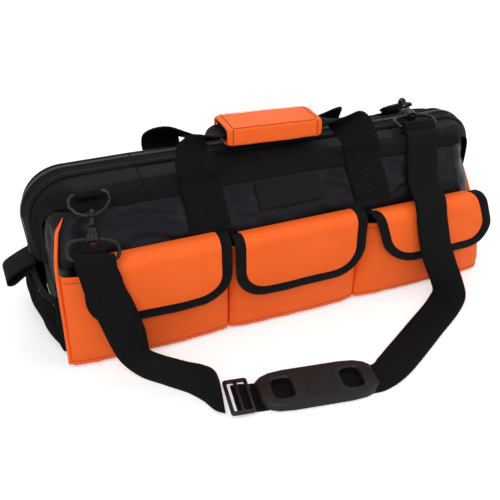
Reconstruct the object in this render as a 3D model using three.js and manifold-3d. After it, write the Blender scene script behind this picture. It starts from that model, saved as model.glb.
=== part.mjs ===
// Zippered tool bag, millimetres, +Z up, +X along the length, the front faces -Y.
// The origin is the centre of the underside of the base.
import * as THREE from "three";
import Module from "manifold-3d";

const wasm = await Module();
wasm.setup();

// Overall sizes
const HALF_LENGTH = 300;
const FRONT_Y = -104;
const BACK_Y = 108;
const RIM_Z = 200;
const RIM_Y = 62;
const RIM_HALF_LENGTH = HALF_LENGTH - 36;
const ROOF_RISE = { left: 15, right: 6.5 };
const GAP = 0.4;
const WALL = 3;
const MOUTH_HALF = 180;
const HOOD_START = MOUTH_HALF + 0.8;
const CORNER_R = 38;
const HOOD_END_Z = 108;
const POCKET_SEAM_X = 92;
const POCKET_TOP_Z = 138;
const POCKET_BOTTOM_Z = 6;
const FLAP_DROP = 108;
const BINDING = 14;
const HANDLE_X = 112;
const HANDLE_WIDTH = 52;
const STRAP_WIDTH = 46;
const WEB = 2.2;
const BACK_DROP = 14;
const SETTLE_Z = 145;

const part = new THREE.Group();
part.name = "zippered_tool_bag";

const V = (x, y, z) => new THREE.Vector3(x, y, z);
const lerp = (a, b, t) => a + (b - a) * t;
const overRim = (x, y, up) => V(x, y, RIM_Z + up);
const unit = (t) => Math.min(1, Math.max(0, t));
const range = (count) => Array.from({ length: count }, (_, i) => i);

const ACROSS = V(1, 0, 0);

// Closed meshes from vertices and triangles, turned outward
function closedGeometry(points, triangles) {
  let volume = 0;
  const cross = V(0, 0, 0);
  for (const [a, b, c] of triangles) {
    cross.crossVectors(points[b], points[c]);
    volume += points[a].dot(cross);
  }
  const flat = [];
  const index = [];
  for (const p of points) {
    flat.push(p.x, p.y, p.z);
  }
  for (const [a, b, c] of triangles) {
    if (volume < 0) {
      index.push(a, c, b);
    } else {
      index.push(a, b, c);
    }
  }
  const geometry = new THREE.BufferGeometry();
  geometry.setAttribute("position", new THREE.Float32BufferAttribute(flat, 3));
  geometry.setIndex(index);
  return geometry;
}

// A thin sheet over a grid of points, from offset `low` to offset `high` along its normals
function sheet(grid, low, high) {
  const rows = grid.length;
  const columns = grid[0].length;
  const points = [];
  for (const offset of [low, high]) {
    for (let i = 0; i < rows; i += 1) {
      for (let j = 0; j < columns; j += 1) {
        const along = grid[Math.min(i + 1, rows - 1)][j].clone().sub(grid[Math.max(i - 1, 0)][j]);
        const across = grid[i][Math.min(j + 1, columns - 1)].clone().sub(grid[i][Math.max(j - 1, 0)]);
        const normal = along.cross(across).normalize();
        points.push(grid[i][j].clone().addScaledVector(normal, offset));
      }
    }
  }
  const at = (side, i, j) => side * rows * columns + i * columns + j;
  const triangles = [];
  const quad = (a, b, c, d) => {
    triangles.push([a, b, c], [a, c, d]);
  };
  for (let i = 0; i < rows - 1; i += 1) {
    for (let j = 0; j < columns - 1; j += 1) {
      quad(at(1, i, j), at(1, i + 1, j), at(1, i + 1, j + 1), at(1, i, j + 1));
      quad(at(0, i, j), at(0, i, j + 1), at(0, i + 1, j + 1), at(0, i + 1, j));
    }
  }
  for (let i = 0; i < rows - 1; i += 1) {
    quad(at(0, i, 0), at(0, i + 1, 0), at(1, i + 1, 0), at(1, i, 0));
    quad(at(1, i, columns - 1), at(1, i + 1, columns - 1), at(0, i + 1, columns - 1), at(0, i, columns - 1));
  }
  for (let j = 0; j < columns - 1; j += 1) {
    quad(at(1, 0, j), at(1, 0, j + 1), at(0, 0, j + 1), at(0, 0, j));
    quad(at(0, rows - 1, j), at(0, rows - 1, j + 1), at(1, rows - 1, j + 1), at(1, rows - 1, j));
  }
  return closedGeometry(points, triangles);
}

// A body through rings of equal count, capped at both ends or joined end to start
function loft(rings, joined = false) {
  const count = rings[0].length;
  const points = rings.flat();
  const triangles = [];
  const steps = joined ? rings.length : rings.length - 1;
  for (let i = 0; i < steps; i += 1) {
    const next = (i + 1) % rings.length;
    for (let j = 0; j < count; j += 1) {
      const k = (j + 1) % count;
      const a = i * count + j;
      const b = i * count + k;
      const c = next * count + k;
      const d = next * count + j;
      triangles.push([a, b, c], [a, c, d]);
    }
  }
  if (!joined) {
    for (const [row, turn] of [[0, false], [rings.length - 1, true]]) {
      const centre = V(0, 0, 0);
      rings[row].forEach((p) => centre.add(p));
      centre.multiplyScalar(1 / count);
      const middle = points.push(centre) - 1;
      for (let j = 0; j < count; j += 1) {
        const a = row * count + j;
        const b = row * count + ((j + 1) % count);
        triangles.push(turn ? [middle, a, b] : [middle, b, a]);
      }
    }
  }
  return closedGeometry(points, triangles);
}

function smoothPath(points, steps, closed = false) {
  const curve = new THREE.CatmullRomCurve3(points, closed, "centripetal");
  return curve.getPoints(steps);
}

// A round bar along a path; `joined` closes it into a ring
function bar(path, radius, sides = 8, joined = false) {
  const list = joined ? path.slice(0, -1) : path;
  const count = list.length;
  const rings = [];
  let normal = null;
  for (let i = 0; i < count; i += 1) {
    const before = joined ? list[(i + count - 1) % count] : list[Math.max(i - 1, 0)];
    const after = joined ? list[(i + 1) % count] : list[Math.min(i + 1, count - 1)];
    const tangent = after.clone().sub(before).normalize();
    if (normal === null) {
      const seed = Math.abs(tangent.z) < 0.8 ? V(0, 0, 1) : V(0, 1, 0);
      normal = seed.addScaledVector(tangent, -seed.dot(tangent)).normalize();
    }
    normal.addScaledVector(tangent, -normal.dot(tangent)).normalize();
    const side = tangent.clone().cross(normal);
    rings.push(range(sides).map((k) => {
      const angle = (2 * Math.PI * (k + 0.5)) / sides;
      return list[i].clone()
        .addScaledVector(normal, radius * Math.cos(angle))
        .addScaledVector(side, radius * Math.sin(angle));
    }));
  }
  return loft(rings, joined);
}

// Webbing: stations of position, width direction and half width, smoothed between
function ribbon(stations, thickness, steps) {
  const places = new THREE.CatmullRomCurve3(stations.map((s) => s[0]), false, "centripetal");
  const widths = new THREE.CatmullRomCurve3(stations.map((s) => s[1]), false, "centripetal");
  const grid = [];
  for (let i = 0; i <= steps; i += 1) {
    const t = i / steps;
    const at = t * (stations.length - 1);
    const k = Math.min(Math.floor(at), stations.length - 2);
    const half = lerp(stations[k][2], stations[k + 1][2], at - k);
    const width = widths.getPoint(t).normalize().multiplyScalar(half);
    const place = places.getPoint(t);
    grid.push([place.clone().sub(width), place.clone().add(width)]);
  }
  return sheet(grid, -thickness / 2, thickness / 2);
}

function block(x0, x1, y0, y1, z0, z1) {
  const ring = (z) => [V(x0, y0, z), V(x1, y0, z), V(x1, y1, z), V(x0, y1, z)];
  return loft([ring(z0), ring(z1)]);
}

function roundedRing(x0, x1, y0, y1, radius, z, corner = 6) {
  const ring = [];
  const centres = [
    [x1 - radius, y1 - radius],
    [x0 + radius, y1 - radius],
    [x0 + radius, y0 + radius],
    [x1 - radius, y0 + radius],
  ];
  centres.forEach(([cx, cy], quarter) => {
    for (let i = 0; i <= corner; i += 1) {
      const angle = (quarter + i / corner) * (Math.PI / 2);
      ring.push(V(cx + radius * Math.cos(angle), cy + radius * Math.sin(angle), z));
    }
  });
  return ring;
}

// Booleans
function toManifold(geometry) {
  const mesh = new wasm.Mesh({
    numProp: 3,
    vertProperties: Float32Array.from(geometry.attributes.position.array),
    triVerts: Uint32Array.from(geometry.index.array),
  });
  return new wasm.Manifold(mesh);
}

function fromManifold(body) {
  const mesh = body.getMesh();
  const geometry = new THREE.BufferGeometry();
  geometry.setAttribute("position", new THREE.BufferAttribute(mesh.vertProperties.slice(), 3));
  geometry.setIndex(Array.from(mesh.triVerts));
  return geometry;
}

function joinAll(...list) {
  return fromManifold(list.map(toManifold).reduce((a, b) => a.add(b)));
}

function cut(base, ...tools) {
  return fromManifold(tools.map(toManifold).reduce((a, b) => a.subtract(b), toManifold(base)));
}

const NYLON = { color: 0x26262d, roughness: 0.6, metalness: 0 };
const WEBBING = { color: 0x1c1c1d, roughness: 0.8, metalness: 0 };
const ORANGE = { color: 0xf7692d, roughness: 0.6, metalness: 0 };
const NET = { color: 0x1a1a1c, roughness: 0.7, metalness: 0 };
const COIL = { color: 0x242426, roughness: 0.4, metalness: 0 };
const PLASTIC = { color: 0x27272a, roughness: 0.38, metalness: 0 };
const LACQUER = { color: 0x303033, roughness: 0.35, metalness: 0.6 };
const RUBBER = { color: 0x222224, roughness: 0.55, metalness: 0 };
const BOARD = { color: 0x242425, roughness: 0.8, metalness: 0 };
const STEEL = { color: 0xb9bbbe, roughness: 0.35, metalness: 1 };

function place(name, geometry, finish) {
  const mesh = new THREE.Mesh(geometry, new THREE.MeshStandardMaterial(finish));
  mesh.name = name;
  part.add(mesh);
}

function moved(geometry, matrix) {
  return geometry.clone().applyMatrix4(matrix);
}

// Body shell by height; the right front corner is pressed in by sizes dx and dy, and `flat` straightens it
const L = HALF_LENGTH;
const SHELL = [
  { z: 3.4, x: L - 4, front: -101, back: 105, r: 22, dx: 22, dy: 22, flat: 1 },
  { z: 12, x: L - 1, front: FRONT_Y, back: BACK_Y, r: 25, dx: 25, dy: 25, flat: 1 },
  { z: 80, x: L, front: FRONT_Y, back: 110, r: 27, dx: 32, dy: 38, flat: 1.1 },
  { z: 145, x: L, front: FRONT_Y, back: 110, r: 28, dx: 50, dy: 80, flat: 1.5 },
  { z: 158, x: L, front: -101, back: 105, r: 30, dx: 56, dy: 84, flat: 1.6 },
  { z: 178, x: L - 3.5, front: -84, back: 88, r: 32, dx: 50, dy: 62, flat: 1.5 },
  { z: 190, x: L - 12.5, front: -72, back: 73, r: 34, dx: 42, dy: 44, flat: 1.2 },
  { z: RIM_Z, x: RIM_HALF_LENGTH, front: -RIM_Y, back: RIM_Y, r: 36, dx: 36, dy: 36, flat: 1 },
];

// The back of the mouth hangs lower than the front
function settled(y, z) {
  return z - BACK_DROP * unit(y / RIM_Y) * unit((z - SETTLE_Z) / (RIM_Z - SETTLE_Z));
}

function pressedCorner(station, inset, angle) {
  return V(
    station.x - station.dx + (station.dx - inset) * Math.cos(angle) ** station.flat,
    station.front + station.dy - (station.dy - inset) * Math.sin(angle) ** station.flat,
    station.z,
  );
}

function shellRing(station, inset) {
  const corner = 7;
  const ring = roundedRing(
    -station.x + inset,
    station.x - inset,
    station.front + inset,
    station.back - inset,
    station.r - inset,
    station.z,
    corner,
  );
  for (const k of range(corner + 1)) {
    ring[ring.length - 1 - k] = pressedCorner(station, inset, (k / corner) * (Math.PI / 2));
  }
  return ring.map((p) => V(p.x, p.y, settled(p.y, p.z)));
}

function frontY(z) {
  for (let i = 0; i < SHELL.length - 1; i += 1) {
    const a = SHELL[i];
    const b = SHELL[i + 1];
    if (z <= b.z) {
      return lerp(a.front, b.front, Math.max(0, (z - a.z) / (b.z - a.z)));
    }
  }
  return -RIM_Y;
}

function backY(z) {
  for (let i = 0; i < SHELL.length - 1; i += 1) {
    const a = SHELL[i];
    const b = SHELL[i + 1];
    if (z <= b.z) {
      return lerp(a.back, b.back, Math.max(0, (z - a.z) / (b.z - a.z)));
    }
  }
  return RIM_Y;
}

const outerRings = SHELL.map((s) => shellRing(s, 0));
const innerRings = SHELL.slice(1).map((s) => shellRing(s, WALL)).reverse();
place("body_shell", loft([...outerRings, ...innerRings]), NYLON);
place("base_panel", loft([
  roundedRing(-L + 12, L - 12, FRONT_Y + 9, BACK_Y - 9, 18, 0),
  roundedRing(-L + 8, L - 8, FRONT_Y + 6, BACK_Y - 6, 20, 3),
]), BOARD);
const BOARD_Z = [12.4, 15.4];
place("base_board", loft(BOARD_Z.map((z) => (
  roundedRing(-L + 10, L - 10, FRONT_Y + 7, BACK_Y - 7, 18, z)
))), BOARD);

// Pockets along the front, open at the top
const POCKET_END = HALF_LENGTH - 2;
const POCKETS = [
  { name: "pocket_left", x0: -POCKET_END, x1: -POCKET_SEAM_X - 0.6, drop: 0, taper: 0 },
  { name: "pocket_middle", x0: -POCKET_SEAM_X + 0.6, x1: POCKET_SEAM_X - 0.6, drop: 6, taper: 0 },
  { name: "pocket_right", x0: POCKET_SEAM_X + 0.6, x1: POCKET_END, drop: 14, taper: 19 },
];
const POCKET_Y = -115;
const POCKET_BULGE = [
  { z: POCKET_BOTTOM_Z, out: 0 },
  { z: 30, out: 6 },
  { z: 70, out: 11 },
  { z: 110, out: 10 },
  { z: POCKET_TOP_Z, out: 6 },
];

function pocketRing(x0, x1, z, out, inset) {
  const back = FRONT_Y - GAP - inset;
  const ring = [V(x1 - inset, back, z)];
  ring.push(V(x0 + inset, back, z));
  for (const k of range(13)) {
    const t = k / 12;
    const angle = Math.PI * t;
    const x = (x0 + x1) / 2 - ((x1 - x0) / 2 - inset) * Math.cos(angle);
    const reach = Math.abs(Math.sin(angle)) ** 0.42;
    const flat = lerp(0.0, POCKET_Y - FRONT_Y + GAP + inset * 1.6, Math.min(1, reach * 1.12));
    ring.push(V(x, back + Math.min(-0.8, flat) - out * Math.sin(angle), z));
  }
  return ring;
}

const POCKET_WALL = 2.2;
const POCKET_FLOOR = 2.5;
for (const pocket of POCKETS) {
  const levels = POCKET_BULGE.map((s) => {
    const up = (s.z - POCKET_BOTTOM_Z) / (POCKET_TOP_Z - POCKET_BOTTOM_Z);
    return { z: s.z - pocket.drop * up, x1: pocket.x1 - pocket.taper * unit(up * 1.2 - 0.2), out: s.out };
  });
  const outer = loft(levels.map((s) => pocketRing(pocket.x0, s.x1, s.z, s.out, 0)));
  const inner = loft(levels.map((s, i) => {
    const lift = i === 0 ? POCKET_FLOOR : i === levels.length - 1 ? 2 : 0;
    return pocketRing(pocket.x0, s.x1, s.z + lift, s.out, POCKET_WALL);
  }));
  place(pocket.name, cut(outer, inner), ORANGE);
}

// Pocket flaps: cloth and a bound edge, hinged along the seam above the pockets
const FLAP_PROFILE = [
  V(0, -103.2, 152.3),
  V(0, -112, 155.6),
  V(0, -121, 154.6),
  V(0, -128.5, 147),
  V(0, -131, 134),
  V(0, -131.8, 110),
  V(0, -131.4, 85),
  V(0, -130, 60),
  V(0, -129, 48),
];
const flapCurve = new THREE.CatmullRomCurve3(FLAP_PROFILE, false, "centripetal");
const flapLength = flapCurve.getLength();

// A flap's point; the right flap hangs slanting, sooner at its outer side
function flapPoint(flap, x, down) {
  const p = flapCurve.getPointAt(Math.min(1, down / flapLength));
  const across = (x - flap.x0) / (flap.x1 - flap.x0);
  const out = flap.off * (1 - unit(down / FLAP_RADIUS));
  const share = down / FLAP_DROP;
  const slant = flap.lean * share * (1 + 0.4 * across * (1 - share));
  return V(x + slant, p.y - out, p.z - flap.drop);
}

function flapHalfWidth(half, radius, drop, down) {
  const over = down - (drop - radius);
  if (over <= 0) {
    return half;
  }
  return half - radius + Math.sqrt(Math.max(0, radius * radius - over * over));
}

const FLAPS = [
  { key: "left", x0: -HALF_LENGTH + 24, x1: -POCKET_SEAM_X - 3, drop: 0, off: 0, length: FLAP_DROP, lean: 0 },
  { key: "middle", x0: -POCKET_SEAM_X + 1, x1: POCKET_SEAM_X - 1, drop: 6, off: 1.3, length: FLAP_DROP, lean: 0 },
  {
    key: "right",
    x0: POCKET_SEAM_X + 5,
    x1: HALF_LENGTH - 34,
    drop: 14,
    off: 1.8,
    length: FLAP_DROP - 7,
    lean: 34,
  },
];
const FLAP_RADIUS = 44;
for (const flap of FLAPS) {
  const centre = (flap.x0 + flap.x1) / 2;
  const half = (flap.x1 - flap.x0) / 2;
  const clothHalf = half - BINDING - GAP;
  const clothDrop = flap.length - BINDING - GAP;
  const clothRadius = FLAP_RADIUS - BINDING;
  const downs = [0, 6, 14, 24, 40, 58, clothDrop - clothRadius];
  for (const k of range(5)) {
    downs.push(clothDrop - clothRadius * (1 - Math.sin(((k + 1) / 5) * 1.35)));
  }
  place(`flap_${flap.key}_cloth`, sheet(downs.map((down) => {
    const wide = flapHalfWidth(clothHalf, clothRadius, clothDrop, down);
    return range(7).map((j) => flapPoint(flap, centre + wide * (j / 3 - 1), down));
  }), -0.9, 0.9), ORANGE);
  const edge = [];
  for (const down of [0, 6, 14, 24, 40, flap.length - FLAP_RADIUS]) {
    edge.push([-half, down, -half + BINDING, down]);
  }
  for (const k of range(7)) {
    const angle = ((k + 1) / 8) * (Math.PI / 2);
    const cx = -half + FLAP_RADIUS;
    const cd = flap.length - FLAP_RADIUS;
    const inner = FLAP_RADIUS - BINDING;
    edge.push([
      cx - FLAP_RADIUS * Math.cos(angle),
      cd + FLAP_RADIUS * Math.sin(angle),
      cx - inner * Math.cos(angle),
      cd + inner * Math.sin(angle),
    ]);
  }
  edge.push([-half + FLAP_RADIUS, flap.length, -half + FLAP_RADIUS, flap.length - BINDING]);
  const mirrored = edge.slice().reverse().map(([a, b, c, d]) => [-a, b, -c, d]);
  const middle = range(3).map((k) => {
    const x = (half - FLAP_RADIUS) * (k - 1) / 2;
    return [x, flap.length, x, flap.length - BINDING];
  });
  place(`flap_${flap.key}_binding`, sheet([...edge, ...middle, ...mirrored].map(([ox, od, ix, id]) => [
    flapPoint(flap, centre + ox, od),
    flapPoint(flap, centre + ix, id),
  ]), -1.7, 1.7), WEBBING);
}

// Piping up the front corners, close to the pockets and then to the shell
const PIPING_R = 2.4;
const PIPING_ANGLE = 0.87;
const PIPING_ANGLE_RIGHT = 0.4;
function shellAt(z) {
  const k = Math.max(1, SHELL.findIndex((s) => s.z >= z));
  const t = (z - SHELL[k - 1].z) / (SHELL[k].z - SHELL[k - 1].z);
  const keys = ["z", "x", "front", "r", "dx", "dy", "flat"];
  return Object.fromEntries(keys.map((key) => [key, lerp(SHELL[k - 1][key], SHELL[k][key], t)]));
}
function pipingLeft(z) {
  const { x, front, r } = shellAt(z);
  const reach = r + PIPING_R + 1.7;
  return V(-(x - r + reach * Math.cos(PIPING_ANGLE)), front + r - reach * Math.sin(PIPING_ANGLE), z);
}
function pipingRight(z) {
  const station = shellAt(z);
  const before = pressedCorner(station, 0, PIPING_ANGLE_RIGHT - 0.05);
  const after = pressedCorner(station, 0, PIPING_ANGLE_RIGHT + 0.05);
  const out = V(before.y - after.y, after.x - before.x, 0).normalize();
  return pressedCorner(station, 0, PIPING_ANGLE_RIGHT).addScaledVector(out, PIPING_R + 1);
}
const PIPING_Z = [154, 162, 170, 178, 184, 189];
place("piping_left", bar(smoothPath([
  V(-HALF_LENGTH - 1, -106.5, 7),
  V(-HALF_LENGTH - 1, -107, 60),
  V(-HALF_LENGTH - 1, -107, 137),
  ...PIPING_Z.map(pipingLeft),
], 20), PIPING_R, 8), ORANGE);
const PIPING_Z_RIGHT = [7, 14, 46, 80, 112, 145, ...PIPING_Z.slice(1)];
place("piping_right", bar(smoothPath(PIPING_Z_RIGHT.map(pipingRight), 22), PIPING_R, 8), ORANGE);

// Mesh pocket on the left end, open at the top
const MESH_BULGE = [
  { z: 7, out: 3 },
  { z: 25, out: 16 },
  { z: 54, out: 24 },
  { z: 78, out: 20 },
  { z: 91, out: 12 },
];
function meshRing(z, out, inset) {
  const back = -(HALF_LENGTH + GAP) - inset;
  const reach = 88 - inset;
  const ring = [V(back, -reach + 6, z), V(back, reach - 6, z)];
  for (const k of range(11)) {
    const angle = (Math.PI * (k + 0.5)) / 11;
    const out2 = (out + 3) * Math.sin(angle) ** 0.8;
    ring.push(V(back - Math.max(1, out2 - inset * 0.4), (reach - 6) * Math.cos(angle), z));
  }
  return ring;
}
const meshOuter = loft(MESH_BULGE.map((s) => meshRing(s.z, s.out, 0)));
const meshInner = loft(MESH_BULGE.map((s, i) => {
  const lift = i === 0 ? 2 : i === MESH_BULGE.length - 1 ? 2 : 0;
  return meshRing(s.z + lift, Math.max(0, s.out - 1.4), 1.6);
}));
place("end_pocket_mesh", cut(meshOuter, meshInner), NET);

// Mouth: roof height across the bag
// The mouth arches over, less and less towards the right end
function roofRise(x) {
  return lerp(ROOF_RISE.left, ROOF_RISE.right, unit((x + MOUTH_HALF) / (2 * MOUTH_HALF)));
}
function roofZ(x, y) {
  return RIM_Z + 0.6 + roofRise(x) * (1 - (y / RIM_Y) ** 2) - BACK_DROP * unit(y / RIM_Y);
}

const ZIP_EDGE = 5.2;
const BAND = 2.4;
for (const [side, key] of [[-1, "front"], [1, "back"]]) {
  const ys = [61.6, 52, 40, 28, 16, ZIP_EDGE].map((y) => side * y);
  const xs = range(7).map((i) => lerp(-MOUTH_HALF, MOUTH_HALF, i / 6));
  const band = xs.map((x) => ys.map((y) => V(x, y, roofZ(x, y))));
  place(`mouth_band_${key}`, sheet(band, side < 0 ? 0 : -BAND, side < 0 ? BAND : 0), NYLON);
  const strip = [4.8, 0.5].map((y) => side * y);
  const tape = sheet(xs.map((x) => strip.map((y) => V(x, y, roofZ(x, y) + 1))), -0.6, 0.6);
  const teeth = [0.5, 2.6].map((y) => side * y).sort((a, b) => a - b);
  const coil = sheet(xs.map((x) => teeth.map((y) => V(x, y, roofZ(x, 0) + 1.4))), -1.6, 1.6);
  place(`zip_${key}`, joinAll(tape, coil), COIL);
  const stiff = [58.5, 56].map((y) => side * y).sort((a, b) => a - b);
  const drop = side > 0 ? BACK_DROP * 0.95 : 0;
  const long = MOUTH_HALF - 8;
  place(`stiffener_${key}`, block(-long, long, ...stiff, 184 - drop, 199.4 - drop), STEEL);
}

// Fixed mouth ends: a hood that turns down each end of the bag
const HOOD_HALF = RIM_Y - 0.4;
function hoodPath(side, t) {
  // t runs 0 to 1 over the top, 1 to 2 round the corner and 2 to 3 down the end
  const cx = HALF_LENGTH - CORNER_R;
  const cz = RIM_Z + 0.6 - CORNER_R;
  const end = roofRise(side * MOUTH_HALF);
  if (t <= 1) {
    const x = lerp(HOOD_START, cx, t);
    return { x, z: RIM_Z + 0.6, nx: 0, nz: 1, half: HOOD_HALF, rise: end, drop: 1 };
  }
  if (t <= 2) {
    const angle = (t - 1) * (Math.PI / 2);
    return {
      x: cx + (CORNER_R + 0.4) * Math.sin(angle),
      z: cz + CORNER_R * Math.cos(angle),
      nx: Math.sin(angle),
      nz: Math.cos(angle),
      half: lerp(HOOD_HALF, 33, Math.sin(angle) ** 0.8),
      rise: lerp(end, 16, t - 1),
      drop: 2 - t,
    };
  }
  const down = t - 2;
  return {
    x: HALF_LENGTH + 0.6,
    z: lerp(cz, HOOD_END_Z, down),
    nx: 1,
    nz: 0,
    half: lerp(33, 26, down),
    rise: lerp(16, 12, down),
    drop: 0,
  };
}

const HOOD_T = [0, 0.5, 1, 1.2, 1.4, 1.6, 1.8, 2, 2.5, 3];
function hoodGrid(side, cross, lift) {
  return HOOD_T.map((t) => {
    const s = hoodPath(side, t);
    return cross.map((c) => {
      const y = typeof c === "number" ? c * s.half : c.y;
      const rise = s.rise * (1 - (y / s.half) ** 2) + lift;
      const sunk = BACK_DROP * unit(y / RIM_Y) * s.drop;
      return V(side * (s.x + s.nx * rise), y, s.z + s.nz * rise - sunk);
    });
  });
}
const ZIP_END_WALL = 1.8;
for (const [side, key] of [[-1, "left"], [1, "right"]]) {
  const across = [-1, -0.8, -0.55, -0.25, 0, 0.25, 0.55, 0.8, 1];
  const low = side > 0 ? 0 : -BAND;
  place(`mouth_end_${key}`, sheet(hoodGrid(side, across, 0), low, low + BAND), NYLON);
  const strip = [-4.6, -1.6, 1.6, 4.6].map((y) => ({ y }));
  const lowZip = side > 0 ? 0 : -ZIP_END_WALL;
  place(`zip_end_${key}`, sheet(hoodGrid(side, strip, 3.1), lowZip, lowZip + ZIP_END_WALL), COIL);
}

// Webbing loop at the left end of the mouth
const LOOP_HALF = 22;
place("end_loop", ribbon([
  [-13.9, 106.6], [-20.5, 105], [-36, 98], [-50, 89], [-52, 82], [-46, 80.5], [-34, 88], [-19, 98],
].map(([out, z]) => [V(-HALF_LENGTH + out, 0, z), V(0, 1, 0), LOOP_HALF]), 1.8, 20), WEBBING);

// Handles: stitched legs on the panels, and the free loops above the mouth
const LEG_Z = [160, 169, 178, 184, 190, 195.5];
const BACK_LEG_Z = [...LEG_Z.slice(0, -1), 193];
const HALF_HANDLE = HANDLE_WIDTH / 2;
for (const side of [-1, 1]) {
  const key = side < 0 ? "left" : "right";
  const xs = [-1, -0.33, 0.33, 1].map((u) => side * HANDLE_X + u * HALF_HANDLE);
  const front = LEG_Z.map((z) => xs.map((x) => V(x, frontY(z), z)));
  const back = BACK_LEG_Z.map((z) => xs.map((x) => V(x, backY(z), settled(backY(z), z))));
  place(`handle_leg_front_${key}`, sheet(front, -2.7, -0.5), WEBBING);
  place(`handle_leg_back_${key}`, sheet(back, 0.5, 2.7), WEBBING);
}

const GRIP_Y = -14;
const GRIP_Z = RIM_Z + 37.5;
const GRIP_TILT = -0.045;
const GRIP_HALF = 64;
const gripZ = (x) => GRIP_Z + GRIP_TILT * x;
place("handle_front", ribbon([
  [overRim(-HANDLE_X, -64, 3.6), ACROSS, 26],
  [overRim(-HANDLE_X - 1, -64, 14), ACROSS, 26],
  [overRim(-HANDLE_X - 2, -58, 26), V(1, 0.02, -0.08), 26],
  [overRim(-111, -49, 37), V(0.92, 0.05, -0.38), 25],
  [overRim(-103, -42, 43), V(0.6, 0.42, -0.66), 23.5],
  [overRim(-91, -33, 44.5), V(0.2, 0.85, -0.45), 21.5],
  [overRim(-78, -21, 42.5), V(0.04, 0.98, -0.15), 20],
  ...[-GRIP_HALF, -GRIP_HALF / 2, 0, GRIP_HALF / 2, GRIP_HALF].map((x) => (
    [V(x, GRIP_Y, gripZ(x)), V(0, 1, 0), 19.5]
  )),
  [overRim(77, -21, 37), V(-0.04, 0.98, -0.15), 20],
  [overRim(88, -33, 40), V(-0.2, 0.85, -0.45), 21.5],
  [overRim(98, -43, 40), V(-0.6, 0.42, -0.66), 23.5],
  [overRim(105, -51, 34), V(-0.92, 0.05, -0.38), 25],
  [overRim(HANDLE_X - 3, -59, 23), V(-1, 0.02, -0.08), 26],
  [overRim(HANDLE_X - 1, -64, 13), V(-1, 0, 0), 26],
  [overRim(HANDLE_X, -64, 3.6), V(-1, 0, 0), 26],
], WEB, 60), WEBBING);
place("handle_back", ribbon([
  [overRim(-120, 64, 3.6 - BACK_DROP), ACROSS, 26],
  [overRim(-123, 64, 2), ACROSS, 26],
  [overRim(-123, 58, 14), V(0.95, 0.1, -0.25), 25],
  [overRim(-108, 46, 21), V(0.6, 0.5, -0.6), 23],
  [overRim(-80, 40, 19), V(0.2, 0.8, -0.55), 20.5],
  [overRim(-40, 39, 17), V(0, 0.82, -0.55), 20],
  [overRim(0, 39, 16), V(0, 0.82, -0.55), 20],
  [overRim(40, 39, 17), V(0, 0.82, -0.55), 20],
  [overRim(84, 41, 18), V(-0.2, 0.75, -0.6), 20.5],
  [overRim(112, 47, 17), V(-0.6, 0.4, -0.7), 23],
  [overRim(124, 58, 9), V(-0.95, 0.1, -0.25), 25],
  [overRim(122, 64, 0), V(-1, 0, 0), 26],
  [overRim(120, 64, 3.6 - BACK_DROP), V(-1, 0, 0), 26],
], WEB, 48), WEBBING);

function gripRing(x, halfY, halfZ, radius) {
  const ring = roundedRing(-halfY, halfY, -halfZ, halfZ, radius, 0, 4);
  return ring.map((p) => V(x, GRIP_Y + p.x, gripZ(x) + p.y));
}
const GRIP_HEIGHT = 12.6;
const gripOuter = loft([
  gripRing(-GRIP_HALF, 23.5, GRIP_HEIGHT - 2, 7),
  gripRing(-GRIP_HALF + 7, 25.5, GRIP_HEIGHT, 8),
  gripRing(0, 25.5, GRIP_HEIGHT, 8),
  gripRing(GRIP_HALF - 7, 25.5, GRIP_HEIGHT, 8),
  gripRing(GRIP_HALF, 23.5, GRIP_HEIGHT - 2, 7),
]);
const gripInner = loft([-GRIP_HALF - 1, GRIP_HALF + 1].map((x) => gripRing(x, 20.6, 8, 5)));
place("handle_wrap", cut(gripOuter, gripInner), ORANGE);

const PATCH_Z = [164, 171, 178, 184, 189];
place("label_patch", sheet(PATCH_Z.map((z) => (
  [-44, -15, 15, 44].map((x) => V(x, frontY(z), z))
)), -1.8, -0.5), WEBBING);

// D-rings in their tabs: left one at the front of the mouth, right one at the back
const RING_X = { left: -HALF_LENGTH + 52, right: HALF_LENGTH - 80 };
const RING_LEFT = { bar: overRim(RING_X.left, -66, 14), arc: overRim(RING_X.left - 2, -87, -3) };
const RING_RIGHT = { bar: overRim(RING_X.right, 35, 8.5), arc: overRim(RING_X.right - 2, 13.3, 24.4) };
const RING_BAR = 2.2;
const RING_LENGTH = 27;
const RING_OUTLINE = [
  [-19, 0], [-9, 0], [0, 0], [9, 0], [19, 0], [23, 4], [23.5, 12], [17, 21],
  [7, 26.6], [0, 27], [-7, 26.6], [-17, 21], [-23.5, 12], [-23, 4],
];
function ringPath(ends) {
  const down = ends.arc.clone().sub(ends.bar).multiplyScalar(1 / RING_LENGTH);
  const path = RING_OUTLINE.map(([a, b]) => ends.bar.clone().add(V(a, 0, 0)).addScaledVector(down, b));
  path.push(path[0].clone());
  return path;
}
place("dring_left", bar(ringPath(RING_LEFT), RING_BAR, 8, true), PLASTIC);
place("dring_right", bar(ringPath(RING_RIGHT), RING_BAR, 8, true), PLASTIC);
const HALF_TAB = 15;
const tabAt = (x, line) => ribbon(line.map(([y, up]) => [overRim(x, y, up), ACROSS, HALF_TAB]), 1.8, 24);
place("dring_tab_left", tabAt(RING_X.left, [
  [-47, 10.4], [-54, 10], [-60.7, 14.6], [-63.8, 17.4], [-67.2, 17.6], [-69.5, 14.9], [-69.2, 11.7],
  [-66.6, 10.3], [-62.6, 9.4], [-59.5, 7.6],
]), WEBBING);
place("dring_tab_right", tabAt(RING_X.right, [
  [59, -8.1], [50, -4.3], [44.5, -0.9], [41.3, 3], [39.4, 7.4], [37.8, 11.2], [35.2, 12.4],
  [32.1, 10.6], [31.8, 7.4], [33.5, 4.6],
]), WEBBING);

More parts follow.
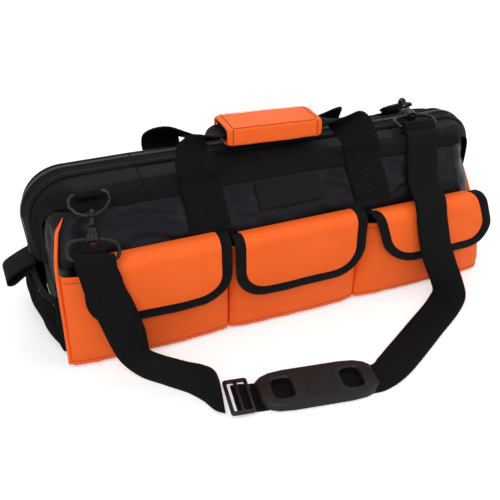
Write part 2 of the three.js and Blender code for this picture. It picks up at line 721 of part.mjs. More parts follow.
// Swivel snap hooks, built once and set on each ring
const HOOK_TO_RING = 26.1;
const HOOK_TO_BAR = 27;
function lathe(profile, sides = 16) {
  const geometry = new THREE.LatheGeometry(profile.map(([r, z]) => new THREE.Vector2(r, z)), sides);
  geometry.rotateX(Math.PI / 2);
  const clean = geometry.toNonIndexed();
  const points = [];
  const lookup = new Map();
  const triangles = [];
  const array = clean.attributes.position.array;
  const ids = [];
  for (let i = 0; i < array.length; i += 3) {
    const key = [array[i], array[i + 1], array[i + 2]].map((c) => Math.round(c * 1000)).join(",");
    if (!lookup.has(key)) {
      lookup.set(key, points.push(V(array[i], array[i + 1], array[i + 2])) - 1);
    }
    ids.push(lookup.get(key));
  }
  for (let i = 0; i < ids.length; i += 3) {
    const [a, b, c] = [ids[i], ids[i + 1], ids[i + 2]];
    if (a !== b && b !== c && a !== c) {
      triangles.push([a, b, c]);
    }
  }
  return closedGeometry(points, triangles);
}
const hookPin = lathe([[0, 9.5], [5, 9.5], [6, 8.5], [6, 3], [2.6, 3], [2.6, -9], [4.6, -9], [4.6, -12], [0, -12]]);
const hookBow = bar(smoothPath([
  V(0, 1, 8), V(0, 5, 13), V(0, 7.5, 19), V(0, 7.5, 24.2), V(0, 4.8, 29.6), V(0, 0, 31.7),
  V(0, -4.8, 29.6), V(0, -7.5, 25), V(0, -7.5, 21),
], 20), 3, 8);
const hookHead = joinAll(hookPin, hookBow);
const hookGate = bar([V(0, -5.6, 11.6), V(0, -7, 15), V(0, -7.5, 20.4)], 1.9, 8);
const hookFrame = bar(smoothPath([
  V(0, 0, -3), V(14, 0, -4.5), V(25, 0, -8), V(28, 0, -13), V(28, 0, -22), V(25, 0, -27), V(10, 0, -27),
  V(-10, 0, -27), V(-25, 0, -27), V(-28, 0, -22), V(-28, 0, -13), V(-25, 0, -8), V(-14, 0, -4.5),
], 44, true), 2.6, 8, true);
const hookCollar = lathe([[0, 2.2], [7, 2.2], [7.4, 1.5], [7.4, -8], [0, -8]]);
const hookHole = lathe([[0, 4], [3.2, 4], [3.2, -7.9], [5.4, -8], [5.4, -14], [0, -14]]);
const hookLoop = cut(joinAll(hookFrame, hookCollar), hookHole);

function hookMatrix(arc, toRing) {
  const w = toRing.clone().normalize();
  const u = V(1, 0, 0).addScaledVector(w, -w.x).normalize();
  const n = w.clone().cross(u);
  const origin = arc.clone().addScaledVector(w, -HOOK_TO_RING);
  return new THREE.Matrix4().makeBasis(u, n, w).setPosition(origin);
}
const HOOK_LEFT = hookMatrix(RING_LEFT.arc, V(0.184, 0.797, 0.573));
const HOOK_RIGHT = hookMatrix(RING_RIGHT.arc, V(0.1, 0.98, 0.17));
for (const [key, matrix] of [["left", HOOK_LEFT], ["right", HOOK_RIGHT]]) {
  place(`hook_head_${key}`, moved(hookHead, matrix), PLASTIC);
  place(`hook_gate_${key}`, moved(hookGate, matrix), PLASTIC);
  place(`hook_loop_${key}`, moved(hookLoop, matrix), PLASTIC);
}

// Shoulder strap: left run to the adjuster, right run from there through the pad
const HALF_STRAP = STRAP_WIDTH / 2;
const across = (hook) => V(0, 0, 0).setFromMatrixColumn(hook, 0);
const ACROSS_LEFT = across(HOOK_LEFT);
const ACROSS_RIGHT = across(HOOK_RIGHT).negate();
const BAR_LEFT = V(0, 0, -HOOK_TO_BAR).applyMatrix4(HOOK_LEFT);
const BAR_RIGHT = V(0, 0, -HOOK_TO_BAR).applyMatrix4(HOOK_RIGHT);
const round = (bar, width, list) => list.map(([x, y, z]) => [V(x, y, z).add(bar), width, HALF_STRAP]);
place("strap_left", ribbon([
  ...round(BAR_LEFT, ACROSS_LEFT, [
    [0.2, 3.3, -5.4], [0, 4.6, 0.9], [-0.1, 0, 4.9], [0, -5.2, 0.9], [0.4, -5.6, -8.6],
  ]),
  [V(-256, -134.8, 143), V(0.98, -0.1, -0.05), HALF_STRAP],
  [V(-253.5, -138.6, 128), V(1, -0.03, 0), HALF_STRAP],
  [V(-247, -140.8, 107), V(1, 0, 0.12), HALF_STRAP],
  [V(-240, -142.5, 82), V(1, -0.05, 0.22), HALF_STRAP],
  [V(-234, -146, 58), V(0.95, -0.15, 0.4), HALF_STRAP],
  [V(-229, -152, 38), V(0.7, -0.3, 0.7), HALF_STRAP],
  [V(-220, -162, 27), V(0.25, -0.15, 1), HALF_STRAP],
  [V(-202, -181, 25.2), V(0, 0, 1), HALF_STRAP],
  [V(-180, -203, 25.2), V(0, 0.05, 1), HALF_STRAP],
  [V(-164, -219, 23.5), V(0.1, 0.3, 0.95), HALF_STRAP],
  [V(-154, -229, 17), V(0.2, 0.7, 0.55), HALF_STRAP],
  [V(-148, -233.5, 10.5), V(0.17, 0.95, 0.2), HALF_STRAP],
], WEB, 54), WEBBING);

const PAD_ALONG = V(0.988, -0.154, 0);
const PAD_ACROSS = V(0.154, 0.988, 0);
const PAD_CENTRE = V(-34, -253, 0);
const onPad = (s, z) => PAD_CENTRE.clone().addScaledVector(PAD_ALONG, s).add(V(0, 0, z));
place("strap_right", ribbon([
  [onPad(-102, 4.5), PAD_ACROSS, HALF_STRAP],
  [onPad(-90, 4.4), PAD_ACROSS, HALF_STRAP],
  [onPad(-78, 2.2), PAD_ACROSS, HALF_STRAP],
  [onPad(-40, 2), PAD_ACROSS, HALF_STRAP],
  [onPad(0, 2), PAD_ACROSS, HALF_STRAP],
  [onPad(45, 2), PAD_ACROSS, HALF_STRAP],
  [onPad(78, 2.2), PAD_ACROSS, HALF_STRAP],
  [V(66, -257, 3), V(-0.2, 0.95, 0), HALF_STRAP],
  [V(100, -237, 3), V(-0.5, 0.86, 0), HALF_STRAP],
  [V(150, -205, 3), V(-0.53, 0.85, 0), HALF_STRAP],
  [V(200, -173, 4), V(-0.6, 0.8, 0.05), HALF_STRAP],
  [V(217, -160, 12), V(-0.85, 0.5, 0.1), HALF_STRAP],
  [V(215, -153, 28), V(-1, 0.2, 0), HALF_STRAP],
  [V(207, -147, 50), V(-1, 0.05, -0.1), HALF_STRAP],
  [V(197, -142.5, 78), V(-1, 0, -0.15), HALF_STRAP],
  [V(190, -139.5, 106), V(-1, 0, -0.1), HALF_STRAP],
  ...[
    [185, -138, -72], [184, -134.5, -58], [185, -126, -48], [187, -112, -42], [190, -99, -33],
    [195.5, -85, -19], [201, -73, -5], [206, -64, 5], [209.4, -56, 10.4],
  ].map(([x, y, up]) => [overRim(x, y, up), ACROSS.clone().negate(), HALF_STRAP]),
  ...round(BAR_RIGHT, ACROSS_RIGHT, [
    [-1.2, -8.6, -3.8], [-0.1, -5.6, 0.2], [0.1, -0.2, 5.2], [0.1, 5, 0.3], [0.1, 4.2, -5.7],
  ]),
], WEB, 84), WEBBING);

// Flat bodies from a plan outline, used for the pad and the adjuster
function slab(outline, holes, z0, z1, bevel) {
  const shape = new THREE.Shape(outline.map(([x, y]) => new THREE.Vector2(x, y)));
  for (const hole of holes) {
    shape.holes.push(new THREE.Path(hole.map(([x, y]) => new THREE.Vector2(x, y))));
  }
  const geometry = new THREE.ExtrudeGeometry(shape, {
    depth: z1 - z0 - 2 * bevel,
    bevelEnabled: bevel > 0,
    bevelThickness: bevel,
    bevelSize: bevel,
    bevelOffset: -bevel,
    bevelSegments: 1,
    steps: 1,
  });
  geometry.translate(0, 0, z0 + bevel);
  const points = [];
  const lookup = new Map();
  const ids = [];
  const array = geometry.attributes.position.array;
  for (let i = 0; i < array.length; i += 3) {
    const key = [array[i], array[i + 1], array[i + 2]].map((c) => Math.round(c * 1000)).join(",");
    if (!lookup.has(key)) {
      lookup.set(key, points.push(V(array[i], array[i + 1], array[i + 2])) - 1);
    }
    ids.push(lookup.get(key));
  }
  const triangles = [];
  for (let i = 0; i < ids.length; i += 3) {
    const [a, b, c] = [ids[i], ids[i + 1], ids[i + 2]];
    if (a !== b && b !== c && a !== c) {
      triangles.push([a, b, c]);
    }
  }
  return closedGeometry(points, triangles);
}
const flatRing = (...sizes) => roundedRing(...sizes, 0, 3).map((p) => [p.x, p.y]);
const padMatrix = new THREE.Matrix4().makeBasis(PAD_ALONG, PAD_ACROSS, V(0, 0, 1)).setPosition(PAD_CENTRE);

const PAD_OUTLINE = [
  [-73, -17], [-66, -24], [-54, -29], [-36, -31], [36, -31], [54, -29], [66, -24], [73, -17],
  [73, 17], [66, 24], [54, 29], [36, 31], [-36, 31], [-54, 29], [-66, 24], [-73, 17],
];
const PAD_WINDOWS = [flatRing(-55, -31, -17, 17, 7), flatRing(31, 55, -17, 17, 7)];
const padBlank = slab(PAD_OUTLINE, PAD_WINDOWS, 0.3, 12, 2);
const padChannel = block(-80, 80, -25.5, 25.5, -2, 3.7);
place("shoulder_pad", moved(cut(padBlank, padChannel), padMatrix), RUBBER);

const adjusterMatrix = new THREE.Matrix4()
  .makeBasis(PAD_ALONG, PAD_ACROSS, V(0, 0, 1))
  .setPosition(onPad(-96, 0));
place("strap_adjuster", moved(slab(
  flatRing(-15, 15, -29, 29, 4),
  [flatRing(-10.5, -2.2, -24, 24, 2), flatRing(2.2, 10.5, -24, 24, 2)],
  6,
  9.8,
  0.8,
), adjusterMatrix), PLASTIC);

// Zip slider low on the right end, and its pull
const SLIDER_X = HALF_LENGTH + 19.2;
const SLIDER_Z = HOOD_END_Z + 14.5;
const sliderBody = block(SLIDER_X, SLIDER_X + 5, -6.5, 6.5, SLIDER_Z - 8.5, SLIDER_Z + 8.5);
const sliderArch = bar(smoothPath([
  [4, 7.5], [9.5, 6.5], [11.5, 2.5], [11.5, -2.5], [9.5, -6.5], [4, -7.5],
].map(([out, up]) => V(SLIDER_X + out, 0, SLIDER_Z + up)), 12), 1.4, 8);
place("zip_slider", joinAll(sliderBody, sliderArch), LACQUER);
const pullFrame = bar(smoothPath([
  [8.4, -5, 0], [9.2, 0, 0], [8.4, 5, 0], [8.6, 5.4, -10.5],
  [9.2, 4.4, -23.5], [9.2, 0, -25.5], [9.2, -4.4, -23.5], [8.6, -5.4, -10.5],
].map(([out, y, up]) => V(SLIDER_X + out, y, SLIDER_Z + up)), 28, true), 1.3, 8, true);
const pullPlate = block(SLIDER_X + 8.2, SLIDER_X + 10, -4.6, 4.6, SLIDER_Z - 24.5, SLIDER_Z - 12.5);
place("zip_pull", joinAll(pullFrame, pullPlate), LACQUER);

export default part;
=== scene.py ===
"""Zippered tool bag: cloth, webbing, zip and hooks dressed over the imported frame.

Sizes are written in millimetres and placed in metres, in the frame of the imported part.
"""

from __future__ import annotations

import logging
import math
from collections.abc import Callable, Iterable, Sequence
from dataclasses import dataclass, field
from enum import Enum
from itertools import product

import bmesh
import bpy
from bpy.types import Material, Mesh, NodeSocket, NodeTree, Object, Scene
from mathutils import Matrix, Vector, noise

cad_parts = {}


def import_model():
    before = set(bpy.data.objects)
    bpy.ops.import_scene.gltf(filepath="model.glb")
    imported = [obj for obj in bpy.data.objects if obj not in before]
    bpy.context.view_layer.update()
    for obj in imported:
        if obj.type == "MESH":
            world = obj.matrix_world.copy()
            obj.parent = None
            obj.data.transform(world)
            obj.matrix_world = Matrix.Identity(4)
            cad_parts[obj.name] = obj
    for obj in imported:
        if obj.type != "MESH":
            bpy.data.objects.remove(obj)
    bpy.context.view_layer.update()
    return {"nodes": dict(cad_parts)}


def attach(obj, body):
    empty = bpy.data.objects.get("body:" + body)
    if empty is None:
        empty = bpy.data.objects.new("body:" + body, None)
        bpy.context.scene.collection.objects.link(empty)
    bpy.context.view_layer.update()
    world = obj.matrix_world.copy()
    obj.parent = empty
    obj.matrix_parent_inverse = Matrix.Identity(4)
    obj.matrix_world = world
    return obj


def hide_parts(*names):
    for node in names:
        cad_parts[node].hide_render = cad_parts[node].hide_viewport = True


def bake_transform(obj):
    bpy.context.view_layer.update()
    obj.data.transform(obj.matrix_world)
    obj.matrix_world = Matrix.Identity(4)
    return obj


LOG = logging.getLogger("tool_bag")
MM = 0.001
WAVE_UNIT = 0.31416
UV_NAME = "weave"
SEWN_GAP = 1e-6
GRAIN_HEIGHT = 0.0006
THREAD_HEIGHT = 0.0008
TUBE_SIDES = 3
WEBBING_RIB = 0.35
WEBBING_COLUMNS = 8
WEBBING_THICK = 2.2
TAB_THICK = 1.8
FLAP_LENGTH = 108.0
SIDES = ((-1, "left"), (1, "right"))
WALLS = ((-1, "front"), (1, "back"))

Point = tuple[float, float, float]
Ribbon = list[tuple[Point, Point, float]]
Stamp = Callable[[bmesh.types.BMesh], list[bmesh.types.BMVert]]
Place = Callable[[float, float], Sequence[float]]
Levels = Sequence[tuple[float, float]]


class Slot(Enum):
    """The record's material slots."""

    NYLON = "black_fabric"
    WEBBING = "black_webbing"
    BINDING = "black_binding"
    ORANGE = "orange_fabric"
    PIPING = "orange_piping"
    NET = "black_mesh"
    ZIP = "zip_coil"
    METAL = "zip_metal"
    PLASTIC = "black_plastic"
    RUBBER = "pad_rubber"
    BOARD = "board"
    STEEL = "steel_strip"


class Body(Enum):
    """The bodies that pieces ride on."""

    BAG = "bag"
    MOUTH_FRONT = "mouth_front"
    MOUTH_BACK = "mouth_back"
    FLAP_LEFT = "flap_left"
    FLAP_MIDDLE = "flap_middle"
    FLAP_RIGHT = "flap_right"
    SLIDER = "slider"
    PULL = "pull"
    STRAP = "shoulder_strap"
    HOOK_LEFT = "hook_left"
    HOOK_RIGHT = "hook_right"
    GATE_LEFT = "gate_left"
    GATE_RIGHT = "gate_right"
    PAD = "pad"
    ADJUSTER = "adjuster"


@dataclass(frozen=True)
class Finish:
    """A procedural finish built from noise, weave and bump."""

    name: str
    slot: Slot
    colour: tuple[float, float, float]
    roughness: float = 0.7
    variation: float = 0.12
    variation_scale: float = 18.0
    weave_pitch: float = 0.0
    weave_depth: float = 0.25
    twill_pitch: float = 0.0
    weave_shade: float = 0.35
    grain_scale: float = 900.0
    grain_depth: float = 0.12
    metallic: float = 0.0
    specular: float = 0.4

    def build(self) -> Material:
        """Make the node material.

        Returns:
            The material, ready to assign.
        """
        material = bpy.data.materials.new(self.name)
        material.use_nodes = True
        tree = material.node_tree
        shader = tree.nodes["Principled BSDF"]
        shader.inputs["Roughness"].default_value = self.roughness
        shader.inputs["Metallic"].default_value = self.metallic
        shader.inputs["Specular IOR Level"].default_value = self.specular
        place = tree.nodes.new("ShaderNodeTexCoord").outputs["Object"]
        colour = self.mottled(tree, place)
        normal = self.grained(tree, place)
        for pitch, direction in ((self.weave_pitch, "X"), (self.twill_pitch, "DIAGONAL")):
            if pitch > 0:
                colour, normal = self.woven(tree, colour, normal, pitch, direction)
        tree.links.new(colour, shader.inputs["Base Color"])
        tree.links.new(normal, shader.inputs["Normal"])
        material["slot"] = self.slot.value
        return material

    def mottled(self, tree: NodeTree, place: NodeSocket) -> NodeSocket:
        """Return the colour, a little lighter and darker from place to place.

        Args:
            tree: The material's node tree.
            place: Gives the place on the piece.

        Returns:
            The colour.
        """
        mottle = tree.nodes.new("ShaderNodeTexNoise")
        mottle.inputs["Scale"].default_value = self.variation_scale
        mottle.inputs["Detail"].default_value = 5.0
        tree.links.new(place, mottle.inputs["Vector"])
        ramp = tree.nodes.new("ShaderNodeValToRGB")
        dark = [c * (1 - self.variation) for c in self.colour]
        light = [min(1.0, c * (1 + self.variation)) for c in self.colour]
        for stop, at, shade in zip(ramp.color_ramp.elements, (0.3, 0.7), (dark, light)):
            stop.position = at
            stop.color = (*shade, 1)
        tree.links.new(mottle.outputs["Fac"], ramp.inputs["Fac"])
        return ramp.outputs["Color"]

    def grained(self, tree: NodeTree, place: NodeSocket) -> NodeSocket:
        """Return the surface's normal with its fine grain.

        Args:
            tree: The material's node tree.
            place: Gives the place on the piece.

        Returns:
            The normal.
        """
        grain = tree.nodes.new("ShaderNodeTexNoise")
        grain.inputs["Scale"].default_value = self.grain_scale
        grain.inputs["Detail"].default_value = 2.0
        tree.links.new(place, grain.inputs["Vector"])
        bump = tree.nodes.new("ShaderNodeBump")
        bump.inputs["Strength"].default_value = self.grain_depth
        bump.inputs["Distance"].default_value = GRAIN_HEIGHT
        tree.links.new(grain.outputs["Fac"], bump.inputs["Height"])
        return bump.outputs["Normal"]

    def woven(
        self, tree: NodeTree, colour: NodeSocket, normal: NodeSocket, pitch: float, direction: str
    ) -> tuple[NodeSocket, NodeSocket]:
        """Lay one set of threads over a colour and a normal.

        Args:
            tree: The material's node tree.
            colour: The colour so far.
            normal: The normal so far.
            pitch: From thread to thread, in metres.
            direction: Which way the threads follow one another.

        Returns:
            The colour and the normal with the threads.
        """
        source = tree.nodes.new("ShaderNodeUVMap")
        source.uv_map = UV_NAME
        wave = tree.nodes.new("ShaderNodeTexWave")
        wave.bands_direction = direction
        wave.inputs["Scale"].default_value = WAVE_UNIT / pitch
        wave.inputs["Distortion"].default_value = 0.25
        wave.inputs["Detail"].default_value = 1.0
        tree.links.new(source.outputs["UV"], wave.inputs["Vector"])
        ridge = tree.nodes.new("ShaderNodeBump")
        ridge.inputs["Strength"].default_value = self.weave_depth
        ridge.inputs["Distance"].default_value = THREAD_HEIGHT
        tree.links.new(wave.outputs["Fac"], ridge.inputs["Height"])
        tree.links.new(normal, ridge.inputs["Normal"])
        shade = tree.nodes.new("ShaderNodeMix")
        shade.data_type = "RGBA"
        shade.blend_type = "MULTIPLY"
        shade.inputs["Factor"].default_value = self.weave_shade
        tree.links.new(colour, shade.inputs["A"])
        tree.links.new(wave.outputs["Color"], shade.inputs["B"])
        return shade.outputs["Result"], ridge.outputs["Normal"]


class Palette:
    """All the finishes of the bag, each made once."""

    def __init__(self) -> None:
        """Build every material."""
        black = (0.0048, 0.0048, 0.0076)
        deep = (0.0052, 0.0052, 0.0062)
        orange = (1.0, 0.142, 0.019)
        self.nylon = Finish(
            "black_nylon", Slot.NYLON, black, 0.46, 0.25, 22, grain_depth=0.15, specular=0.11,
        ).build()
        self.band = Finish("mouth_nylon", Slot.NYLON, deep, 0.6, 0.15, 22, specular=0.1).build()
        self.orange = Finish(
            "orange_nylon", Slot.ORANGE, orange, 0.55, 0.05, 14, grain_depth=0.22, specular=0.16,
        ).build()
        self.piping = Finish("orange_piping_cloth", Slot.PIPING, orange, 0.5, 0.05, 14, specular=0.22).build()
        self.webbing = self.woven("twill_webbing", Slot.WEBBING, 0.0019, 0.6, twill_pitch=0.0042)
        self.binding = self.woven("binding_tape", Slot.BINDING, 0.0014, 0.5)
        self.rim = self.woven("rim_tape", Slot.BINDING, 0.0021, 0.7)
        self.net = Finish("pocket_net", Slot.NET, deep, 0.7, specular=0.1).build()
        self.coil = Finish("zip_coil_nylon", Slot.ZIP, (0.042, 0.042, 0.055), 0.35).build()
        self.tape = Finish(
            "zip_tape", Slot.ZIP, deep, 0.8, weave_pitch=0.0012, weave_depth=0.4, specular=0.1,
        ).build()
        self.metal = Finish("black_lacquer", Slot.METAL, (0.012, 0.012, 0.013), 0.3, 0.1, 60).build()
        self.plastic = Finish(
            "moulded_plastic", Slot.PLASTIC, (0.007, 0.007, 0.008), 0.3, 0.1, 60,
            grain_depth=0.08, specular=0.22,
        ).build()
        self.rubber = Finish(
            "pad_moulding", Slot.RUBBER, (0.007, 0.007, 0.0076), 0.42, 0.1, 60,
            grain_depth=0.15, specular=0.2,
        ).build()
        self.thread = Finish("black_thread", Slot.WEBBING, (0.003, 0.003, 0.003), 0.6, specular=0.1).build()
        self.edge_thread = Finish(
            "dark_thread", Slot.WEBBING, (0.0035, 0.0035, 0.004), 0.6, specular=0.1,
        ).build()
        self.board = Finish("stiff_board", Slot.BOARD, (0.02, 0.02, 0.021), 0.75).build()
        self.steel = Finish(
            "spring_steel", Slot.STEEL, (0.55, 0.55, 0.57), 0.35, 0.05, 60, metallic=1.0,
        ).build()

    def woven(self, name: str, slot: Slot, pitch: float, depth: float, twill_pitch: float = 0.0) -> Material:
        """Return a black webbing or tape with its threads.

        Args:
            name: The finish's name.
            slot: Its slot in the record.
            pitch: From rib to rib, in metres.
            depth: How strongly the ribs show.
            twill_pitch: From slanting rib to slanting rib, in metres, or 0.

        Returns:
            The material.
        """
        black = (0.0055, 0.0053, 0.0054)
        return Finish(
            name, slot, black, 0.8, 0.1, 40,
            weave_pitch=pitch, weave_depth=depth, twill_pitch=twill_pitch, specular=0.1,
        ).build()


def metres(point: Sequence[float]) -> Vector:
    """Return a point given in millimetres as a vector in metres."""
    return Vector(point) * MM


def mix(a: float, b: float, t: float) -> float:
    """Return the value a share t of the way from a to b."""
    return a + (b - a) * t


def smooth(t: float) -> float:
    """Return t eased at both ends of 0 to 1."""
    t = max(0.0, min(1.0, t))
    return t * t * (3 - 2 * t)


def ripple(x: float, y: float, z: float, size: float, seed: float = 0.0) -> float:
    """Soft noise between about -1 and 1.

    Args:
        x, y, z: The place in millimetres.
        size: The size of a wrinkle in millimetres.
        seed: Moves the pattern.

    Returns:
        The noise at that place.
    """
    return noise.noise(Vector((x / size + seed, y / size - seed, z / size + seed * 0.5)))


def fold(value: float) -> float:
    """Return a creased wave: sharp ridges and broad valleys."""
    return 1 - 2 * abs(value)


def between(levels: Levels, at: float) -> float:
    """Return the eased value at a place.

    Args:
        levels: Places in rising order, each with its value.
        at: The place.

    Returns:
        The value there.
    """
    for (at0, value0), (at1, value1) in zip(levels, levels[1:]):
        if at <= at1:
            return mix(value0, value1, smooth((at - at0) / (at1 - at0)))
    return levels[-1][1]


def through(points: Sequence[Point], steps: int) -> list[Vector]:
    """A smooth open curve through points, as the frame's own curves are.

    Args:
        points: The points it passes through, in millimetres.
        steps: The number of equal parameter steps.

    Returns:
        steps + 1 points in millimetres.
    """
    pts = [Vector(p) for p in points]
    last = len(pts) - 1
    out = []
    for i in range(steps + 1):
        at = last * i / steps
        k = min(int(at), last - 1)
        w = at - k
        p1, p2 = pts[k], pts[k + 1]
        p0 = pts[k - 1] if k > 0 else p1 * 2 - p2
        p3 = pts[k + 2] if k + 2 <= last else p2 * 2 - p1
        d0, d1, d2 = (max(1e-4, (b - a).length_squared ** 0.25) for a, b in ((p0, p1), (p1, p2), (p2, p3)))
        if d1 < 1e-3:
            d1 = 1.0
        t1 = ((p1 - p0) / d0 - (p2 - p0) / (d0 + d1) + (p2 - p1) / d1) * d1
        t2 = ((p2 - p1) / d1 - (p3 - p1) / (d1 + d2) + (p3 - p2) / d2) * d1
        w2, w3 = w * w, w * w * w
        near = p1 * (2 * w3 - 3 * w2 + 1) + t1 * (w3 - 2 * w2 + w)
        out.append(near + p2 * (3 * w2 - 2 * w3) + t2 * (w3 - w2))
    return out


def run_lengths(line: Sequence[Vector]) -> list[float]:
    """Return how far along a line each of its points lies.

    Args:
        line: The line's points.

    Returns:
        One length for each point, 0 at the first.
    """
    total = [0.0]
    for a, b in zip(line, line[1:]):
        total.append(total[-1] + (b - a).length)
    return total


def finish_piece(
    name: str, mesh: Mesh, material: Material, body: Body | None, nodes: Iterable[str] = ()
) -> Object:
    """Put a mesh in the scene as a piece that rides on a body.

    Args:
        name: The piece's name.
        mesh: Its mesh, in metres.
        material: Its finish.
        body: The body it rides on, or None where it rides on no body.
        nodes: The CAD nodes it stands for.

    Returns:
        The object.
    """
    piece = bpy.data.objects.new(name, mesh)
    bpy.context.scene.collection.objects.link(piece)
    mesh.materials.append(material)
    for polygon in mesh.polygons:
        polygon.use_smooth = True
    if body:
        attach(piece, body.value)
    if nodes:
        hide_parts(*nodes)
    LOG.info("%s: %d faces on %s", name, len(mesh.polygons), body.value if body else "two bodies")
    return piece


def thicken(piece: Object, thickness: float, offset: float = 0.0, levels: int = 0) -> None:
    """Give a cloth piece its thickness and smoothing.

    Args:
        piece: The object.
        thickness: The cloth's thickness in millimetres.
        offset: Where the cloth lies on its surface, -1 inside to 1 outside.
        levels: Subdivision levels.
    """
    wall = piece.modifiers.new("thickness", "SOLIDIFY")
    wall.thickness = thickness * MM
    wall.offset = offset
    wall.use_even_offset = True
    wall.use_quality_normals = True
    if levels:
        rounds = piece.modifiers.new("rounding", "SUBSURF")
        rounds.levels = rounds.render_levels = levels


def settled(name: str, bm: bmesh.types.BMesh) -> Mesh:
    """Turn a finished bmesh into a mesh.

    Args:
        name: The mesh's name.
        bm: The bmesh, which is freed.

    Returns:
        The mesh.
    """
    mesh = bpy.data.meshes.new(name)
    bm.to_mesh(mesh)
    bm.free()
    return mesh


def surface(name: str, columns: int, rows: int, place: Place, sewn: bool = False) -> Mesh:
    """A sheet made from a grid whose vertices are moved to their places.

    Args:
        name: The mesh's name.
        columns: Segments along u.
        rows: Segments along v.
        place: Gives the point in millimetres for u and v from 0 to 1.
        sewn: Whether edges that meet are sewn together.

    Returns:
        The mesh in metres, with a UV map of real lengths in metres.
    """
    bm = bmesh.new()
    bmesh.ops.create_grid(bm, x_segments=columns, y_segments=rows, size=0.5)
    layer = bm.loops.layers.uv.new(UV_NAME)
    flat = {v.index: (v.co.x + 0.5, v.co.y + 0.5) for v in bm.verts}
    bm.verts.ensure_lookup_table()
    for v in bm.verts:
        u, w = flat[v.index]
        v.co = metres(place(u, w))
    along = run_lengths([metres(place(i / columns, 0.5)) for i in range(columns + 1)])
    across = run_lengths([metres(place(0.5, j / rows)) for j in range(rows + 1)])
    for face in bm.faces:
        for loop in face.loops:
            u, w = flat[loop.vert.index]
            loop[layer].uv = (along[round(u * columns)], across[round(w * rows)])
    if sewn:
        bmesh.ops.remove_doubles(bm, verts=bm.verts, dist=SEWN_GAP)
    return settled(name, bm)


def tube(
    name: str, path: Sequence[Vector], radius: float, closed: bool = False, radii: Sequence[float] = ()
) -> Mesh:
    """A round cord or bar along a path, made from a curve.

    Args:
        name: The mesh's name.
        path: Its centre line in millimetres.
        radius: Its radius in millimetres.
        closed: Whether it is a ring.
        radii: The radius at each point where it isn't the same all along.

    Returns:
        The mesh in metres.
    """
    curve = bpy.data.curves.new(name, "CURVE")
    curve.dimensions = "3D"
    curve.bevel_depth = radius * MM
    curve.bevel_resolution = TUBE_SIDES
    curve.use_fill_caps = not closed
    line = curve.splines.new("POLY")
    points = list(path)[:-1] if closed else list(path)
    line.points.add(len(points) - 1)
    for slot, point in zip(line.points, points):
        slot.co = (*metres(point), 1)
    for slot, wide in zip(line.points, radii):
        slot.radius = wide / radius
    line.use_cyclic_u = closed
    holder = bpy.data.objects.new(name, curve)
    mesh = bpy.data.meshes.new_from_object(holder)
    bpy.data.objects.remove(holder)
    return mesh


def repeated(name: str, stamp: Stamp, places: Iterable[Matrix]) -> Mesh:
    """One mesh that holds the same small shape many times.

    Args:
        name: The mesh's name.
        stamp: Adds the shape at the origin, in millimetres, and returns its vertices.
        places: Where each copy stands, in millimetres.

    Returns:
        The mesh in metres.
    """
    bm = bmesh.new()
    for matrix in places:
        verts = stamp(bm)
        bmesh.ops.transform(bm, matrix=matrix, verts=verts)
    bmesh.ops.scale(bm, vec=(MM, MM, MM), verts=bm.verts)
    return settled(name, bm)


def bead(length: float, width: float, height: float) -> Stamp:
    """A rounded bead that lies along X, for stitches and coil turns.

    Args:
        length, width, height: Its size in millimetres.

    Returns:
        A function that adds it to a bmesh.
    """

    def stamp(bm: bmesh.types.BMesh) -> list[bmesh.types.BMVert]:
        """Add one bead and return its vertices."""
        made = bmesh.ops.create_icosphere(bm, subdivisions=1, radius=0.5)
        bmesh.ops.scale(bm, vec=(length, width, height), verts=made["verts"])
        return made["verts"]

    return stamp


def axes(x: Vector, y: Vector, z: Vector, at: Vector) -> Matrix:
    """Return the matrix of a frame with these axes, standing at a place."""
    return Matrix((*((x[i], y[i], z[i], at[i]) for i in range(3)), (0, 0, 0, 1)))


def frames_along(path: Sequence[Vector], normal: Sequence[float], pitch: float) -> list[Matrix]:
    """Places at even steps along a path.

    Args:
        path: The path in millimetres.
        normal: Roughly which way the copies' Z points.
        pitch: The step in millimetres.

    Returns:
        One matrix for each step, with X along the path.
    """
    out = []
    left = pitch * 0.5
    up = Vector(normal).normalized()
    for a, b in zip(path, path[1:]):
        step = b - a
        length = step.length
        if length < 1e-6:
            continue
        x = step / length
        z = (up - x * up.dot(x)).normalized()
        y = z.cross(x)
        while left <= length:
            out.append(axes(x, y, z, a + x * left))
            left += pitch
        left -= length
    return out


@dataclass(frozen=True)
class Stitch:
    """One kind of stitch, in millimetres."""

    pitch: float
    length: float
    width: float


def stitches(
    name: str,
    path: Sequence[Sequence[float]],
    normal: Sequence[float],
    material: Material,
    body: Body,
    stitch: Stitch,
) -> None:
    """A row of stitches.

    Args:
        name: The piece's name.
        path: The row's line in millimetres.
        normal: Which way the cloth faces.
        material: The thread.
        body: What it rides on.
        stitch: Its pitch and the size of each stitch.
    """
    points = [Vector(p) for p in path]
    one = bead(stitch.length, stitch.width, stitch.width * 0.8)
    mesh = repeated(name, one, frames_along(points, normal, stitch.pitch))
    finish_piece(name, mesh, material, body)


def box_row(corners: Sequence[tuple[float, float]], steps: int, put: Place) -> list[Vector]:
    """Return the points of a row of stitches that runs from corner to corner on a piece.

    Args:
        corners: The corners in order, along and up the piece.
        steps: The steps from one corner to the next.
        put: Gives the point for a place along and up the piece.

    Returns:
        The row's points in millimetres.
    """
    row = []
    for (ax, az), (bx, bz) in zip(corners, corners[1:]):
        row += [put(mix(ax, bx, i / steps), mix(az, bz, i / steps)) for i in range(steps + 1)]
    return row


@dataclass(frozen=True)
class Station:
    """One height of the body's shell, in millimetres."""

    z: float
    half_length: float
    front: float
    back: float
    radius: float
    press_x: float
    press_y: float
    straight: float


